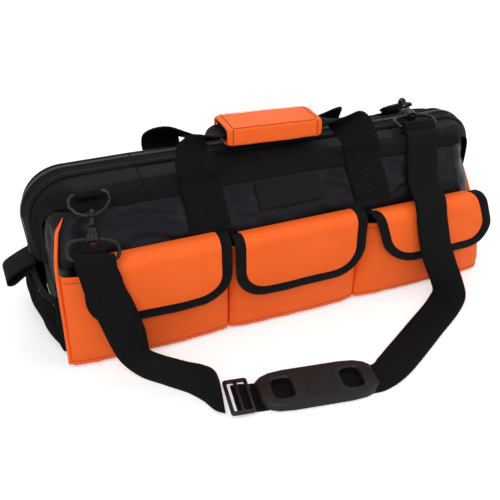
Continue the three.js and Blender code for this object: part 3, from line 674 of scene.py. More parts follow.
@dataclass(frozen=True)
class Crease:
    """One fold pressed into the upper cloth, from one place to another, in millimetres."""

    x0: float
    z0: float
    x1: float
    z1: float
    depth: float = 3.4
    width: float = 5.5

    def push(self, x: float, z: float) -> float:
        """Return how far the cloth moves out at a place; the fold itself goes in.

        Args:
            x, z: The place along and up the wall in millimetres.

        Returns:
            The move in millimetres, below 0 inwards.
        """
        along = Vector((self.x1 - self.x0, self.z1 - self.z0))
        at = Vector((x - self.x0, z - self.z0))
        t = at.dot(along) / along.length_squared
        bend = 3.0 * math.sin(math.pi * t)
        off = (at.x * along.y - at.y * along.x) / along.length + bend
        fade = smooth((t + 0.15) / 0.35) * smooth((1.15 - t) / 0.35)
        inward = -self.depth * math.exp(-((off / self.width) ** 2))
        beside = 0.45 * self.depth * math.exp(-(((off - 1.9 * self.width) / self.width) ** 2))
        return fade * (inward + beside)


@dataclass
class Shell:
    """The bag's cloth body, without the mouth."""

    palette: Palette
    stations: tuple[Station, ...] = (
        Station(3.4, 296, -101, 105, 22, 22, 22, 1),
        Station(12, 299, -104, 108, 25, 25, 25, 1),
        Station(80, 300, -104, 110, 27, 32, 38, 1.1),
        Station(145, 300, -104, 110, 28, 50, 80, 1.5),
        Station(158, 300, -101, 105, 30, 56, 84, 1.6),
        Station(178, 296.5, -84, 88, 32, 50, 62, 1.5),
        Station(190, 287.5, -72, 73, 34, 42, 44, 1.2),
        Station(200, 264, -62, 62, 36, 36, 36, 1),
    )
    counts: tuple[int, ...] = (54, 9, 34, 9, 112, 20, 26, 9, 54)
    heights: tuple[float, ...] = (
        3.6, 3.9, 5, 8, 14, 24, 40, 60, 80, 96, 110, 122, 132, 140, 145, 148, 151, 154, 157, 160, 163, 166,
        169, 172, 175, 178, 181, 184, 187, 190, 192.5, 195, 197.5, 200,
    )
    tucks: tuple[float, ...] = (16.0, 6.0)
    wall: float = 2.4
    skin: float = 0.4
    floor_box: tuple[float, float, float, float] = (-294.0, 294.0, -97.0, 103.0)
    floor_z: float = 11.2
    floor_wall: float = 1.2
    rim_y: float = 62.0
    settle_z: float = 145.0
    rim_z: float = 200.0
    back_drop: float = 14.0
    pocket_top: float = 140.0
    pocket_wall: float = -60.0
    pocket_held: float = 0.15
    foot_z: float = 5.0
    foot_fade: float = 30.0
    calm_z: float = 150.0
    most_out: float = 1.4
    leg_x: float = 112.0
    leg_clear: float = 27.0
    leg_fade: float = 7.0
    crease_band: tuple[float, float] = (142.0, 198.0)
    corner_out: float = 9.0
    corner_rise: tuple[float, float] = (136.0, 10.0)
    corner_fall: tuple[float, float] = (198.0, 48.0)
    creases: tuple[Crease, ...] = (
        Crease(-292, 190, -244, 163, 5.2, 6.0), Crease(-238, 180, -144, 171, 6.0, 6.5),
        Crease(-212, 160, -158, 154, 4.2, 5.0), Crease(-276, 166, -262, 148, 3.0, 5.0),
        Crease(-84, 184, -50, 172, 5.0, 5.0), Crease(-80, 160, -50, 157, 4.2, 4.5),
        Crease(50, 182, 84, 171, 5.0, 5.0), Crease(54, 158, 82, 164, 3.8, 4.5),
        Crease(142, 184, 190, 166, 5.8, 6.0), Crease(148, 154, 186, 162, 4.0, 5.0),
        Crease(232, 182, 268, 172, 3.8, 6.0), Crease(236, 166, 258, 148, 3.2, 5.5),
    )

    def at(self, z: float) -> Station:
        """Return the station at a height.

        Args:
            z: The height in millimetres.

        Returns:
            The station, mixed from its two neighbours.
        """
        z = max(self.stations[0].z, min(self.stations[-1].z, z))
        for a, b in zip(self.stations, self.stations[1:]):
            if z <= b.z:
                t = (z - a.z) / (b.z - a.z)
                sizes = [mix(getattr(a, key), getattr(b, key), t) for key in Station.__dataclass_fields__]
                return Station(*sizes)
        return self.stations[-1]

    def sunk(self, y: float, z: float) -> float:
        """Return how far the back of the mouth hangs down at a place."""
        high = max(0.0, min(1.0, (z - self.settle_z) / (self.rim_z - self.settle_z)))
        return self.back_drop * max(0.0, min(1.0, y / self.rim_y)) * high

    def corner_bulge(self, z: float) -> float:
        """Return how far the left front corner stands out of its round at a height."""
        (start, rise), (end, fall) = self.corner_rise, self.corner_fall
        return self.corner_out * smooth((z - start) / rise) * smooth((end - z) / fall)

    def outline(self, z: float, k: int, t: float, inset: float = 0.0) -> tuple[Vector, Vector]:
        """A point on the outline at one height.

        Args:
            z: The height in millimetres.
            k: The run of the outline, from the middle of the back round by the left.
            t: How far along that run, 0 to 1.
            inset: How far inside the outline.

        Returns:
            The point and the way out from the cloth.
        """
        s = self.at(z)
        r = max(2.0, s.radius - inset)
        x1, y0, y1 = s.half_length - inset, s.front + inset, s.back - inset
        px, py = s.press_x - inset, s.press_y - inset
        if k == 0:
            return Vector((-t * (x1 - r), y1, z)), Vector((0, 1, 0))
        if k == 2:
            return Vector((-x1, mix(y1 - r, y0 + r, t), z)), Vector((-1, 0, 0))
        if k == 4:
            return Vector((mix(-x1 + r, x1 - px, t), y0, z)), Vector((0, -1, 0))
        if k == 6:
            return Vector((x1, mix(y0 + py, y1 - r, t), z)), Vector((1, 0, 0))
        if k == 8:
            return Vector((mix(x1 - r, 0, t), y1, z)), Vector((0, 1, 0))
        if k == 5:
            return self.pressed(s, inset, math.pi / 2 * (1 - t)), self.pressed_out(s, math.pi / 2 * (1 - t))
        start, cx, cy = {1: (90, -x1 + r, y1 - r), 3: (180, -x1 + r, y0 + r), 7: (0, x1 - r, y1 - r)}[k]
        angle = math.radians(start + 90 * t)
        out = Vector((math.cos(angle), math.sin(angle), 0))
        return Vector((cx + r * out.x, cy + r * out.y, z)), out

    def pressed(self, s: Station, inset: float, angle: float) -> Vector:
        """Return a point of the pressed-in right front corner.

        Args:
            s: The station at its height.
            inset: How far inside the outline.
            angle: How far round the corner.

        Returns:
            The point in millimetres.
        """
        return Vector((
            s.half_length - s.press_x + (s.press_x - inset) * max(0.0, math.cos(angle)) ** s.straight,
            s.front + s.press_y - (s.press_y - inset) * max(0.0, math.sin(angle)) ** s.straight,
            s.z,
        ))

    def pressed_out(self, s: Station, angle: float) -> Vector:
        """Return the way out of the pressed-in corner.

        Args:
            s: The station at the point's height.
            angle: How far round the corner.

        Returns:
            The way, one unit long.
        """
        step = 0.04
        a = self.pressed(s, 0, min(math.pi / 2, angle + step))
        b = self.pressed(s, 0, max(0.0, angle - step))
        return Vector((b.y - a.y, a.x - b.x, 0)).normalized()

    def ring_point(self, column: int, z: float, inset: float = 0.0) -> tuple[Vector, Vector]:
        """Return the outline's point and way out at one column of the cloth.

        Args:
            column: The column, counted from the middle of the back.
            z: The height in millimetres.
            inset: How far inside the outline.

        Returns:
            The point and the way out from the cloth.
        """
        for k, count in enumerate(self.counts):
            if column <= count:
                return self.outline(z, k, column / count, inset)
            column -= count
        return self.outline(z, 0, 0.0, inset)

    def crumple(self, p: Vector) -> float:
        """How far the cloth stands out of its even shape, in millimetres.

        Args:
            p: The place on the even shape.

        Returns:
            The distance in millimetres.
        """
        soft = ripple(p.x, p.y, p.z, 95, 1.0) * 1.8 + ripple(p.x, p.y * 1.4, p.z * 1.8, 38, 4.0) * 1.2
        upper = smooth((p.z - 138) / 16) * smooth((200 - p.z) / 10)
        slant = fold(ripple(p.x * 0.5 + p.z * 0.9, 0, p.z * 0.3 - p.x * 0.15, 30, 7.0)) - 0.55
        drape = fold(ripple(p.x * 0.35 - p.z * 1.1, 0, p.z * 0.5 + p.x * 0.1, 34, 13.0)) - 0.55
        sharp = upper * (2.2 * slant + 1.8 * drape)
        end = smooth((abs(p.x) - 215) / 50) * smooth((p.z - 100) / 40)
        gather = end * 4.0 * (fold(ripple(p.x * 0.4, p.y * 1.3, p.z * 0.5, 30, 2.5)) - 0.5)
        return soft + (sharp + gather) * smooth((200 - p.z) / 8)

    def build(self) -> None:
        """Make the body cloth with its folded-under foot."""
        columns = sum(self.counts)
        rows = len(self.heights) - 1

        def place(u: float, v: float) -> Vector:
            """Put one vertex of the body cloth."""
            return self.cloth_point(round(u * columns), round(v * rows))

        mesh = surface("body_cloth", columns, rows, place, sewn=True)
        piece = finish_piece("body_cloth", mesh, self.palette.nylon, Body.BAG, ["body_shell"])
        thicken(piece, self.wall, -1.0, 1)
        x0, x1, y0, y1 = self.floor_box
        floor = surface("body_floor", 8, 4, lambda u, v: (mix(x0, x1, u), mix(y0, y1, v), self.floor_z))
        thicken(finish_piece("body_floor", floor, self.palette.nylon, Body.BAG), self.floor_wall)

    def cloth_point(self, column: int, row: int) -> Vector:
        """Return one vertex of the body cloth, with its dents, creases and sag.

        Args:
            column: The column, counted from the middle of the back.
            row: The row, counted from the foot.

        Returns:
            The point in millimetres.
        """
        z = self.heights[row]
        tucked = row < len(self.tucks)
        p, out = self.ring_point(column, z, self.tucks[row] if tucked else 0.0)
        held = 0.0 if row <= len(self.tucks) else smooth((z - self.foot_z) / self.foot_fade)
        if p.y < self.pocket_wall and z < self.pocket_top:
            held = self.pocket_held
        push = self.crumple(p) * held
        if z > self.calm_z:
            push = min(push, self.most_out)
        low, high = self.crease_band
        if p.y < 0 and low < z < high:
            beside_leg = smooth((abs(abs(p.x) - self.leg_x) - self.leg_clear) / self.leg_fade)
            free = beside_leg * smooth((-out.y - 0.9) / 0.1)
            push = min(self.most_out, push + free * sum(c.push(p.x, z) for c in self.creases))
        if p.x < 0 and p.y < 0:
            push += self.corner_bulge(z) * max(0.0, 2 * out.x * out.y)
        q = p + out * (push - self.skin)
        q.z -= self.sunk(q.y, z)
        return q

    def front_y(self, z: float) -> float:
        """Return the front wall's Y at a height."""
        return self.at(z).front

    def back_y(self, z: float) -> float:
        """Return the back wall's Y at a height."""
        return self.at(z).back


@dataclass(frozen=True)
class PocketSpan:
    """One front pocket and its flap, along X in millimetres."""

    key: str
    low: float
    high: float
    flap_low: float
    flap_high: float
    body: Body
    seed: float
    pocket_drop: float = 0.0
    taper: float = 0.0
    drop: float = 0.0
    off: float = 0.0
    length: float = FLAP_LENGTH
    lean: float = 0.0


@dataclass
class FrontPockets:
    """The three front pockets with their bound flaps."""

    shell: Shell
    palette: Palette
    spans: tuple[PocketSpan, ...] = (
        PocketSpan("left", -298, -92.6, -276, -95, Body.FLAP_LEFT, 3.0),
        PocketSpan(
            "middle", -91.4, 91.4, -91, 91, Body.FLAP_MIDDLE, 11.0, pocket_drop=6, drop=6, off=1.3,
        ),
        PocketSpan(
            "right", 92.6, 298, 97, 266, Body.FLAP_RIGHT, 23.0,
            pocket_drop=14, taper=19, drop=14, off=1.8, length=101.0, lean=34.0,
        ),
    )
    heights: tuple[float, ...] = (
        6.2, 8, 12, 18, 26, 36, 48, 60, 72, 84, 96, 108, 118, 126, 132, 136.5, 138,
    )
    levels: tuple[tuple[float, float], ...] = ((6, 0), (30, 6), (70, 11), (110, 10), (138, 6))
    foot_z: float = 6.0
    top_z: float = 138.0
    seam_y: float = -104.4
    wall_y: float = -104.6
    side_depth: float = 10.6
    seams: tuple[tuple[str, float], ...] = (("hem", 130.5), ("foot_seam", 12.0))
    cloth: float = 1.8
    foot_cloth: float = 1.0
    corner: float = 44.0
    binding: float = 14.0
    binding_thick: float = 2.9
    binding_start: float = 7.0
    binding_crown: float = 0.5
    crown_start: float = 20.0
    binding_stitch_lift: float = 2.2
    under_binding: float = 1.6
    profile: tuple[Point, ...] = (
        (0, -103.6, 152.3), (0, -112.4, 154.2), (0, -121.6, 153.8), (0, -128.7, 147), (0, -131, 134),
        (0, -131.8, 110), (0, -131.4, 85), (0, -130, 60), (0, -129, 48),
    )
    seam_stitch: Stitch = Stitch(4.4, 3.2, 0.7)
    binding_stitch: Stitch = Stitch(3.6, 2.5, 0.6)
    line: list[Vector] = field(default_factory=list)
    runs: list[float] = field(default_factory=list)

    def __post_init__(self) -> None:
        """Measure the flap's curve."""
        self.line = through(self.profile, 160)
        self.runs = run_lengths(self.line)

    def pocket_point(self, span: PocketSpan, u: float, z: float) -> Vector:
        """A point on a pocket's outer cloth.

        Args:
            span: The pocket.
            u: Across the pocket, 0 at its left side.
            z: The height in millimetres.

        Returns:
            The point in millimetres.
        """
        up = (z - self.foot_z) / (self.top_z - self.foot_z)
        high = span.high - span.taper * max(0.0, min(1.0, up * 1.2 - 0.2))
        angle = math.pi * u
        middle, half = (span.low + high) / 2, (high - span.low) / 2
        x = middle - half * math.cos(angle)
        reach = abs(math.sin(angle)) ** 0.42
        flat = -self.side_depth * min(1.0, reach * 1.12)
        y = self.seam_y + min(-0.8, flat) - between(self.levels, z) * math.sin(angle)
        edge = math.sin(angle) ** 0.5
        low = smooth((70 - z) / 60)
        crease = fold(ripple(x * 1.2, 0, z * 0.5, 24, span.seed)) - 0.6
        sweep = fold(ripple(x * 0.5 - z * 0.5, 0, z * 0.3, 30, span.seed + 5)) - 0.6
        y -= edge * (low * crease * 1.2 + sweep * 0.8 + ripple(x, 0, z, 70, span.seed) * 1.4)
        return Vector((x, y, z - span.pocket_drop * up))

    def flap_point(self, span: PocketSpan, x: float, down: float) -> Vector:
        """A point on a flap.

        Args:
            span: The flap.
            x: Along the bag in millimetres, before the flap's slant.
            down: How far down the flap from its hinge.

        Returns:
            The point in millimetres.
        """
        down = max(0.0, min(down, self.runs[-1] - 1e-3))
        k = 0
        while k < len(self.runs) - 2 and self.runs[k + 1] < down:
            k += 1
        t = (down - self.runs[k]) / max(1e-6, self.runs[k + 1] - self.runs[k])
        p = self.line[k].lerp(self.line[k + 1], t)
        share = down / FLAP_LENGTH
        across = (x - span.flap_low) / (span.flap_high - span.flap_low)
        slant = span.lean * share * (1 + 0.4 * across * (1 - share))
        off = span.off * (1 - max(0.0, min(1.0, down / self.corner)))
        free = smooth((down - 8) / 30)
        dent = ripple(x * 0.9, 0, p.z * 1.3, 42, span.seed) * 1.7
        dent += (fold(ripple(x * 0.6 + p.z * 0.7, 0, p.z * 0.4, 34, span.seed + 9)) - 0.6) * 1.3
        return Vector((x + slant, p.y - off - free * dent, p.z - span.drop))

    def flap_half(self, half: float, radius: float, drop: float, down: float) -> float:
        """Return a flap's half width where its lower corners round off.

        Args:
            half: The half width above the corners.
            radius: The corners' radius.
            drop: The flap's length.
            down: How far down the flap.

        Returns:
            The half width in millimetres.
        """
        over = down - (drop - radius)
        if over <= 0:
            return half
        return half - radius + math.sqrt(max(0.0, radius * radius - over * over))

    def build(self) -> None:
        """Make the pockets, hems, flaps, bindings and their stitches."""
        for span in self.spans:
            self.build_pocket(span)
            self.build_flap(span)
            self.build_binding(span)

    def build_pocket(self, span: PocketSpan) -> None:
        """Make one pocket with its hem and stitches.

        Args:
            span: The pocket.
        """
        rows = len(self.heights) - 1
        low = self.heights[0]

        def place(u: float, v: float) -> Vector:
            """Put one vertex of the pocket's cloth."""
            return self.pocket_point(span, u, self.heights[round(v * rows)])

        def foot(u: float, v: float) -> Vector:
            """Put one vertex of the pocket's floor."""
            p = self.pocket_point(span, u, low)
            return Vector((p.x, mix(p.y, self.wall_y, v), mix(low, low + 1, v)))

        mesh = surface(f"pocket_{span.key}_cloth", 90, rows, place)
        piece = finish_piece(mesh.name, mesh, self.palette.orange, Body.BAG, [f"pocket_{span.key}"])
        thicken(piece, self.cloth, -1.0, 1)
        floor = surface(f"pocket_{span.key}_foot", 40, 3, foot)
        thicken(finish_piece(floor.name, floor, self.palette.orange, Body.BAG), self.foot_cloth)
        lift = Vector((0, -0.35, 0))
        for key, z in self.seams:
            row = [self.pocket_point(span, 0.03 + 0.94 * i / 90, z) + lift for i in range(91)]
            name = f"pocket_{span.key}_{key}_stitches"
            stitches(name, row, (0, -1, 0), self.palette.thread, Body.BAG, self.seam_stitch)

    def build_flap(self, span: PocketSpan) -> None:
        """Make one flap's cloth, its edges under the binding.

        Args:
            span: The pocket it covers.
        """
        centre, half = (span.flap_low + span.flap_high) / 2, (span.flap_high - span.flap_low) / 2
        hidden = self.binding - self.under_binding
        drop = span.length - hidden
        upper = drop * (1 - 0.5 ** 1.25)

        def cloth(u: float, v: float) -> Vector:
            """Put one vertex of the flap's cloth, in rows that lie closer towards the hem."""
            down = drop * (1 - (1 - v) ** 1.25) if v > 0.5 else upper * v / 0.5
            wide = self.flap_half(half - hidden, self.corner - hidden, drop, down)
            return self.flap_point(span, centre + wide * (2 * u - 1), down)

        mesh = surface(f"flap_{span.key}_panel", 48, 30, cloth)
        piece = finish_piece(mesh.name, mesh, self.palette.orange, span.body, [f"flap_{span.key}_cloth"])
        thicken(piece, self.cloth, 0.0, 1)

    def binding_edge(self, half: float, length: float) -> list[tuple[float, float, float, float]]:
        """Return the binding's outer and inner places, from one top end round to the other.

        Args:
            half: Half the flap's width in millimetres.
            length: The flap's length.

        Returns:
            For each step the outer place across and down, and the inner place across and down.
        """
        inner = self.corner - self.binding
        edge = []
        for i in range(25):
            down = mix(self.binding_start, length - self.corner, i / 24)
            edge.append((-half, down, -half + self.binding, down))
        for i in range(1, 13):
            angle = math.pi / 2 * i / 13
            edge.append((
                -half + self.corner - self.corner * math.cos(angle),
                length - self.corner + self.corner * math.sin(angle),
                -half + self.corner - inner * math.cos(angle),
                length - self.corner + inner * math.sin(angle),
            ))
        side = len(edge)
        bottom = half - self.corner
        for i in range(31):
            x = mix(-bottom, bottom, i / 30)
            edge.append((x, length, x, length - self.binding))
        return edge + [(-a, b, -c, d) for a, b, c, d in reversed(edge[:side])]

    def build_binding(self, span: PocketSpan) -> None:
        """Make one flap's binding tape and its stitches.

        Args:
            span: The pocket that the flap covers.
        """
        centre, half = (span.flap_low + span.flap_high) / 2, (span.flap_high - span.flap_low) / 2
        edge = self.binding_edge(half, span.length)

        def across(step: int, v: float) -> Vector:
            """Return a point of the tape, from its outer edge to its inner edge."""
            outer, outer_down, inner, inner_down = edge[step]
            return self.flap_point(span, centre + mix(outer, inner, v), mix(outer_down, inner_down, v))

        def tape(u: float, v: float) -> Vector:
            """Put one vertex of the binding tape."""
            step = round(u * (len(edge) - 1))
            below_hinge = edge[step][1] > self.crown_start
            crown = self.binding_crown * math.sin(math.pi * v) if below_hinge else 0.0
            return across(step, v) + Vector((0, -crown, 0))

        mesh = surface(f"flap_{span.key}_tape", len(edge) - 1, 6, tape)
        piece = finish_piece(mesh.name, mesh, self.palette.binding, span.body, [f"flap_{span.key}_binding"])
        thicken(piece, self.binding_thick, 0.0, 1)
        lift = Vector((0, -self.binding_stitch_lift, 0))
        row = [across(step, 0.8) + lift for step in range(6, len(edge) - 6)]
        name = f"flap_{span.key}_tape_stitches"
        stitches(name, row, (0, -1, 0), self.palette.edge_thread, span.body, self.binding_stitch)


@dataclass(frozen=True)
class TapeStrip:
    """A strip sewn along the zip: a tape or a folded ridge, in millimetres across the mouth."""

    name: str
    outer: float
    inner: float
    lift: float
    crown: float


@dataclass
class Mouth:
    """The zipped mouth: two moving halves and the two fixed ends."""

    shell: Shell
    palette: Palette
    rise_left: float = 15.0
    rise_right: float = 6.5
    half: float = 180.0
    hood_start: float = 180.15
    hood_half: float = 61.6
    corner: float = 38.0
    end_x: float = 300.0
    end_z: float = 108.0
    end_out: float = 0.6
    end_half: tuple[float, float] = (33.0, 26.0)
    end_rise: tuple[float, float] = (16.0, 12.0)
    base_z: float = 200.6
    cloth: float = 2.2
    cloth_lift: float = 1.2
    tape_cloth: float = 1.0
    rim_cloth: float = 1.4
    rim_steps: int = 12
    rim_sewn: tuple[tuple[float, float], ...] = ((193.6, 1.6), (197.2, 2.4))
    rim_turn: tuple[float, float] = (63.6, 202.2)
    rim_over: tuple[float, ...] = (59.5, 53.0, 46.0)
    rim_shares: tuple[float, ...] = (0.966, 0.86, 0.747)
    rim_lift: float = 3.6
    coil_pitch: float = 2.1
    coil_y: float = 1.6
    coil_lift: float = 4.6
    coil_turn: tuple[float, float, float] = (3.6, 1.6, 2.3)
    coil_lean: float = 12.0
    strips: tuple[TapeStrip, ...] = (
        TapeStrip("zip_tape", 15.0, 1.4, 2.9, 0.5), TapeStrip("zip_ridge", 22.0, 14.0, 2.8, 2.4),
    )

    def rise(self, x: float) -> float:
        """Return how high the mouth arches at X."""
        return mix(self.rise_left, self.rise_right, max(0.0, min(1.0, (x + self.half) / (2 * self.half))))

    def roof(self, x: float, y: float) -> float:
        """Return the mouth's height at a place, in millimetres."""
        arch = self.rise(x) * (1 - (y / self.shell.rim_y) ** 2)
        return self.base_z + arch - self.shell.sunk(y, self.shell.rim_z)

    def hood(self, side: int, t: float, y: float, lift: float, relative: bool = False) -> Vector:
        """A point on a fixed end.

        Args:
            side: -1 for the left end, 1 for the right.
            t: 0 to 1 over the top, to 2 round the corner, to 3 down the end.
            y: Across, in millimetres, or as a share of the half width.
            lift: How far above the cloth's underside.
            relative: Whether y is a share.

        Returns:
            The point in millimetres.
        """
        cx, cz = self.end_x - self.corner, self.base_z - self.corner
        end = self.rise(side * self.half)
        if t <= 1:
            x, z, nx, nz = mix(self.hood_start, cx, t), self.base_z, 0.0, 1.0
            half, rise, drop = self.hood_half, end, 1.0
        elif t <= 2:
            a = (t - 1) * math.pi / 2
            x, z = cx + (self.corner + 0.4) * math.sin(a), cz + self.corner * math.cos(a)
            nx, nz = math.sin(a), math.cos(a)
            half = mix(self.hood_half, self.end_half[0], math.sin(a) ** 0.8)
            rise, drop = mix(end, self.end_rise[0], t - 1), 2 - t
        else:
            x, z, nx, nz = self.end_x + self.end_out, mix(cz, self.end_z, t - 2), 1.0, 0.0
            half, rise, drop = mix(*self.end_half, t - 2), mix(*self.end_rise, t - 2), 0.0
        if relative:
            y = y * half
        out = rise * (1 - (y / half) ** 2) + lift
        sag = self.shell.sunk(y, self.shell.rim_z) * drop
        return Vector((side * (x + nx * out), y, z + nz * out - sag))

    def build(self) -> None:
        """Make both halves, both ends, their tapes and the coil."""
        for side, key, body in ((-1, "front", Body.MOUTH_FRONT), (1, "back", Body.MOUTH_BACK)):
            self.build_half(side, key, body)
            self.build_rim(side, key, body)
        for side, key in SIDES:
            self.build_end(side, key)

    def build_half(self, side: int, key: str, body: Body) -> None:
        """Make one moving half with its zip tape, folded ridges and coil.

        Args:
            side: -1 for the front, 1 for the back.
            key: Its name.
            body: The body it rides on.
        """

        def band(u: float, v: float) -> Vector:
            """Put one vertex of the half's cloth."""
            x = mix(-self.half, self.half, u)
            y = side * mix(self.hood_half, 5.2, v)
            sag = ripple(x, y * 2, 0, 45, 3.0 * side) * 0.9 * math.sin(math.pi * v)
            return Vector((x, y, self.roof(x, y) + self.cloth_lift + sag))

        mesh = surface(f"mouth_{key}_cloth", 90, 14, band)
        thicken(finish_piece(mesh.name, mesh, self.palette.band, body, [f"mouth_band_{key}"]), self.cloth)
        for strip in self.strips:

            def place(u: float, v: float, strip: TapeStrip = strip) -> Vector:
                """Put one vertex of a strip."""
                x, y = mix(-self.half, self.half, u), side * mix(strip.outer, strip.inner, v)
                return Vector((x, y, self.roof(x, y) + strip.lift + strip.crown * math.sin(math.pi * v)))

            tape = surface(f"mouth_{key}_{strip.name}", 120, 6, place)
            is_tape = strip.name == "zip_tape"
            material = self.palette.tape if is_tape else self.palette.band
            nodes = [f"zip_{key}"] if is_tape else []
            thicken(finish_piece(tape.name, tape, material, body, nodes), self.tape_cloth)
        ends = (-self.half + 1, 0, self.half - 1)
        line = [Vector((x, side * self.coil_y, self.roof(x, 0) + self.coil_lift)) for x in ends]
        name = f"mouth_{key}_coil"
        finish_piece(name, self.coil(name, line, (0, 0, 1), side), self.palette.coil, body)

    def coil(self, name: str, line: Sequence[Vector], normal: Sequence[float], lean: int) -> Mesh:
        """The turns of one side of the zip along a line.

        Args:
            name: The mesh's name.
            line: The side's path in millimetres.
            normal: Which way the cloth faces.
            lean: Which way the turns lean, -1 or 1.

        Returns:
            The mesh in metres.
        """
        turn = Matrix.Rotation(math.radians(90 + self.coil_lean * lean), 4, "Z")
        places = [m @ turn for m in frames_along(line, normal, self.coil_pitch)]
        return repeated(name, bead(*self.coil_turn), places)

    def rim_sunk(self, side: int) -> float:
        """Return how far the mouth's rim hangs down at the front or at the back."""
        return self.shell.sunk(self.shell.rim_y * side, self.shell.rim_z)

    def rim_line(self, side: int, x: float) -> list[Vector]:
        """Return the rim tape's section at X, from the body cloth up on to the mouth.

        Args:
            side: -1 for the front, 1 for the back.
            x: Along the bag in millimetres.

        Returns:
            Six points in millimetres.
        """
        wave = 1.6 * ripple(x, 40.0 * side, 0, 46, 2.0) + 0.8 * ripple(x, 0, 0, 17, 5.0)
        pts = []
        (foot, foot_off), middle = self.rim_sewn
        for z, off in ((foot + wave, foot_off), middle):
            y = self.shell.front_y(z) if side < 0 else self.shell.back_y(z)
            pts.append(Vector((x, y + side * off, z - self.shell.sunk(y, z))))
        y, z = self.rim_turn
        pts.append(Vector((x, side * y, z - self.rim_sunk(side))))
        for y in self.rim_over:
            pts.append(Vector((x, side * y, self.roof(x, side * y) + self.rim_lift)))
        return pts

    def end_rim_line(self, side: int, half: int, t: float) -> list[Vector]:
        """Return the rim tape's section on a fixed end.

        Args:
            side: -1 for the left end, 1 for the right.
            half: -1 for its front edge, 1 for its back edge.
            t: Where along the end, 0 to 3, as for hood.

        Returns:
            Six points in millimetres, from the body cloth up on to the mouth.
        """
        edge = self.hood(side, t, half, self.cloth_lift, relative=True)
        if t <= 1:
            return self.rim_line(half, edge.x)
        turned = min(1.0, t - 1)
        angle = turned * math.pi / 2
        normal = Vector((side * math.sin(angle), 0, math.cos(angle)))
        away = Vector((0, half * mix(0.77, 1.0, turned), -mix(0.64, 0.0, turned))).normalized()
        wave = 1.6 * ripple(edge.z, 40.0 * half, 0, 30, 2.0) * turned
        low = mix(10.0, 7.0, turned)
        section = [
            edge + away * (low + wave),
            edge + away * low * 0.6 + normal * 0.8,
            edge + away * 2 + normal * 1.6,
        ]
        return section + [
            self.hood(side, t, half * share, self.rim_lift, relative=True) for share in self.rim_shares
        ]

    def build_rim(self, side: int, key: str, body: Body) -> None:
        """Make the ribbed tape that joins the body to one moving half.

        Args:
            side: -1 for the front, 1 for the back.
            key: Its name.
            body: The moving half; not used.
        """

        def place(u: float, v: float) -> Vector:
            """Put one vertex of the rim tape."""
            x = mix(-self.half, self.half, u)
            return through(self.rim_line(side, x), self.rim_steps)[round(v * self.rim_steps)]

        mesh = surface(f"mouth_{key}_rim_tape", 120, self.rim_steps, place)
        piece = finish_piece(mesh.name, mesh, self.palette.rim, None)
        thicken(piece, self.rim_cloth)
        low = self.shell.rim_z - self.rim_sunk(side)
        metres((0, side * 66, low - 2))
        metres((0, side * 60, low + 4))
        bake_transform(piece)

    def build_end(self, side: int, key: str) -> None:
        """Make one fixed end with its tapes and coil.

        Args:
            side: -1 for the left, 1 for the right.
            key: Its name.
        """

        def cloth(u: float, v: float) -> Vector:
            """Put one vertex of the end's cloth."""
            across = 2 * v - 1
            p = self.hood(side, 3 * u, across, self.cloth_lift, relative=True)
            soft = ripple(p.x, p.y * 1.5, p.z, 34, 8.0 + side) * (1 - across * across)
            return p + (Vector((0, 0, soft)) if u < 0.4 else Vector((side * soft, 0, 0)))

        mesh = surface(f"mouth_end_{key}_cloth", 72, 24, cloth)
        thicken(finish_piece(mesh.name, mesh, self.palette.band, Body.BAG, [f"mouth_end_{key}"]), self.cloth)
        for strip, (half, where) in product(self.strips, WALLS):

            def place(u: float, v: float, strip: TapeStrip = strip, half: int = half) -> Vector:
                """Put one vertex of a strip."""
                across = half * mix(strip.outer, strip.inner, v)
                return self.hood(side, 3 * u, across, strip.lift + strip.crown * math.sin(math.pi * v))

            tape = surface(f"mouth_end_{key}_{strip.name}_{where}", 72, 6, place)
            is_tape = strip.name == "zip_tape"
            material = self.palette.tape if is_tape else self.palette.band
            nodes = [f"zip_end_{key}"] if is_tape and half < 0 else []
            thicken(finish_piece(tape.name, tape, material, Body.BAG, nodes), self.tape_cloth)
        for half, where in WALLS:

            def rim(u: float, v: float, half: int = half) -> Vector:
                """Put one vertex of the rim tape."""
                section = through(self.end_rim_line(side, half, 3 * u), self.rim_steps)
                return section[round(v * self.rim_steps)]

            tape = surface(f"mouth_end_{key}_rim_tape_{where}", 108, self.rim_steps, rim)
            thicken(finish_piece(tape.name, tape, self.palette.rim, Body.BAG), self.rim_cloth)
        for half, where in WALLS:
            line = [
                self.hood(side, 0.02 + 2.94 * i / 160, half * self.coil_y, self.coil_lift) for i in range(161)
            ]
            turns = self.coil(f"mouth_end_{key}_coil_{where}", line, (side * 0.6, 0, 0.8), half)
            finish_piece(turns.name, turns, self.palette.coil, Body.BAG)


def webbing(
    name: str,
    stations: Ribbon,
    steps: int,
    material: Material,
    body: Body | None,
    nodes: Iterable[str],
    thickness: float = WEBBING_THICK,
) -> Object:
    """A run of flat webbing with a ribbed edge.

    Args:
        name: The piece's name.
        stations: Position, width direction and half width at each station.
        steps: Segments along it.
        material: Its finish.
        body: What it rides on, or None where it rides on no body.
        nodes: The CAD nodes it stands for.
        thickness: Its thickness in millimetres.

    Returns:
        The object.
    """
    centres = through([s[0] for s in stations], steps)
    widths = through([s[1] for s in stations], steps)
    frames = []
    for i in range(steps + 1):
        at = i / steps * (len(stations) - 1)
        k = min(int(at), len(stations) - 2)
        half = mix(stations[k][2], stations[k + 1][2], at - k)
        frames.append((centres[i], widths[i].normalized() * half))

    def place(u: float, v: float) -> Vector:
        """Put one vertex of the webbing, with every second rib standing out at its edges."""
        k = round(u * steps)
        centre, half = frames[k]
        side = 2 * v - 1
        rib = WEBBING_RIB if k % 2 else -WEBBING_RIB
        if abs(side) > 0.99:
            side += rib / half.length * (1 if side > 0 else -1)
        return centre + half * side

    mesh = surface(name, steps, WEBBING_COLUMNS, place)
    piece = finish_piece(name, mesh, material, body, nodes)
    thicken(piece, thickness)
    return piece


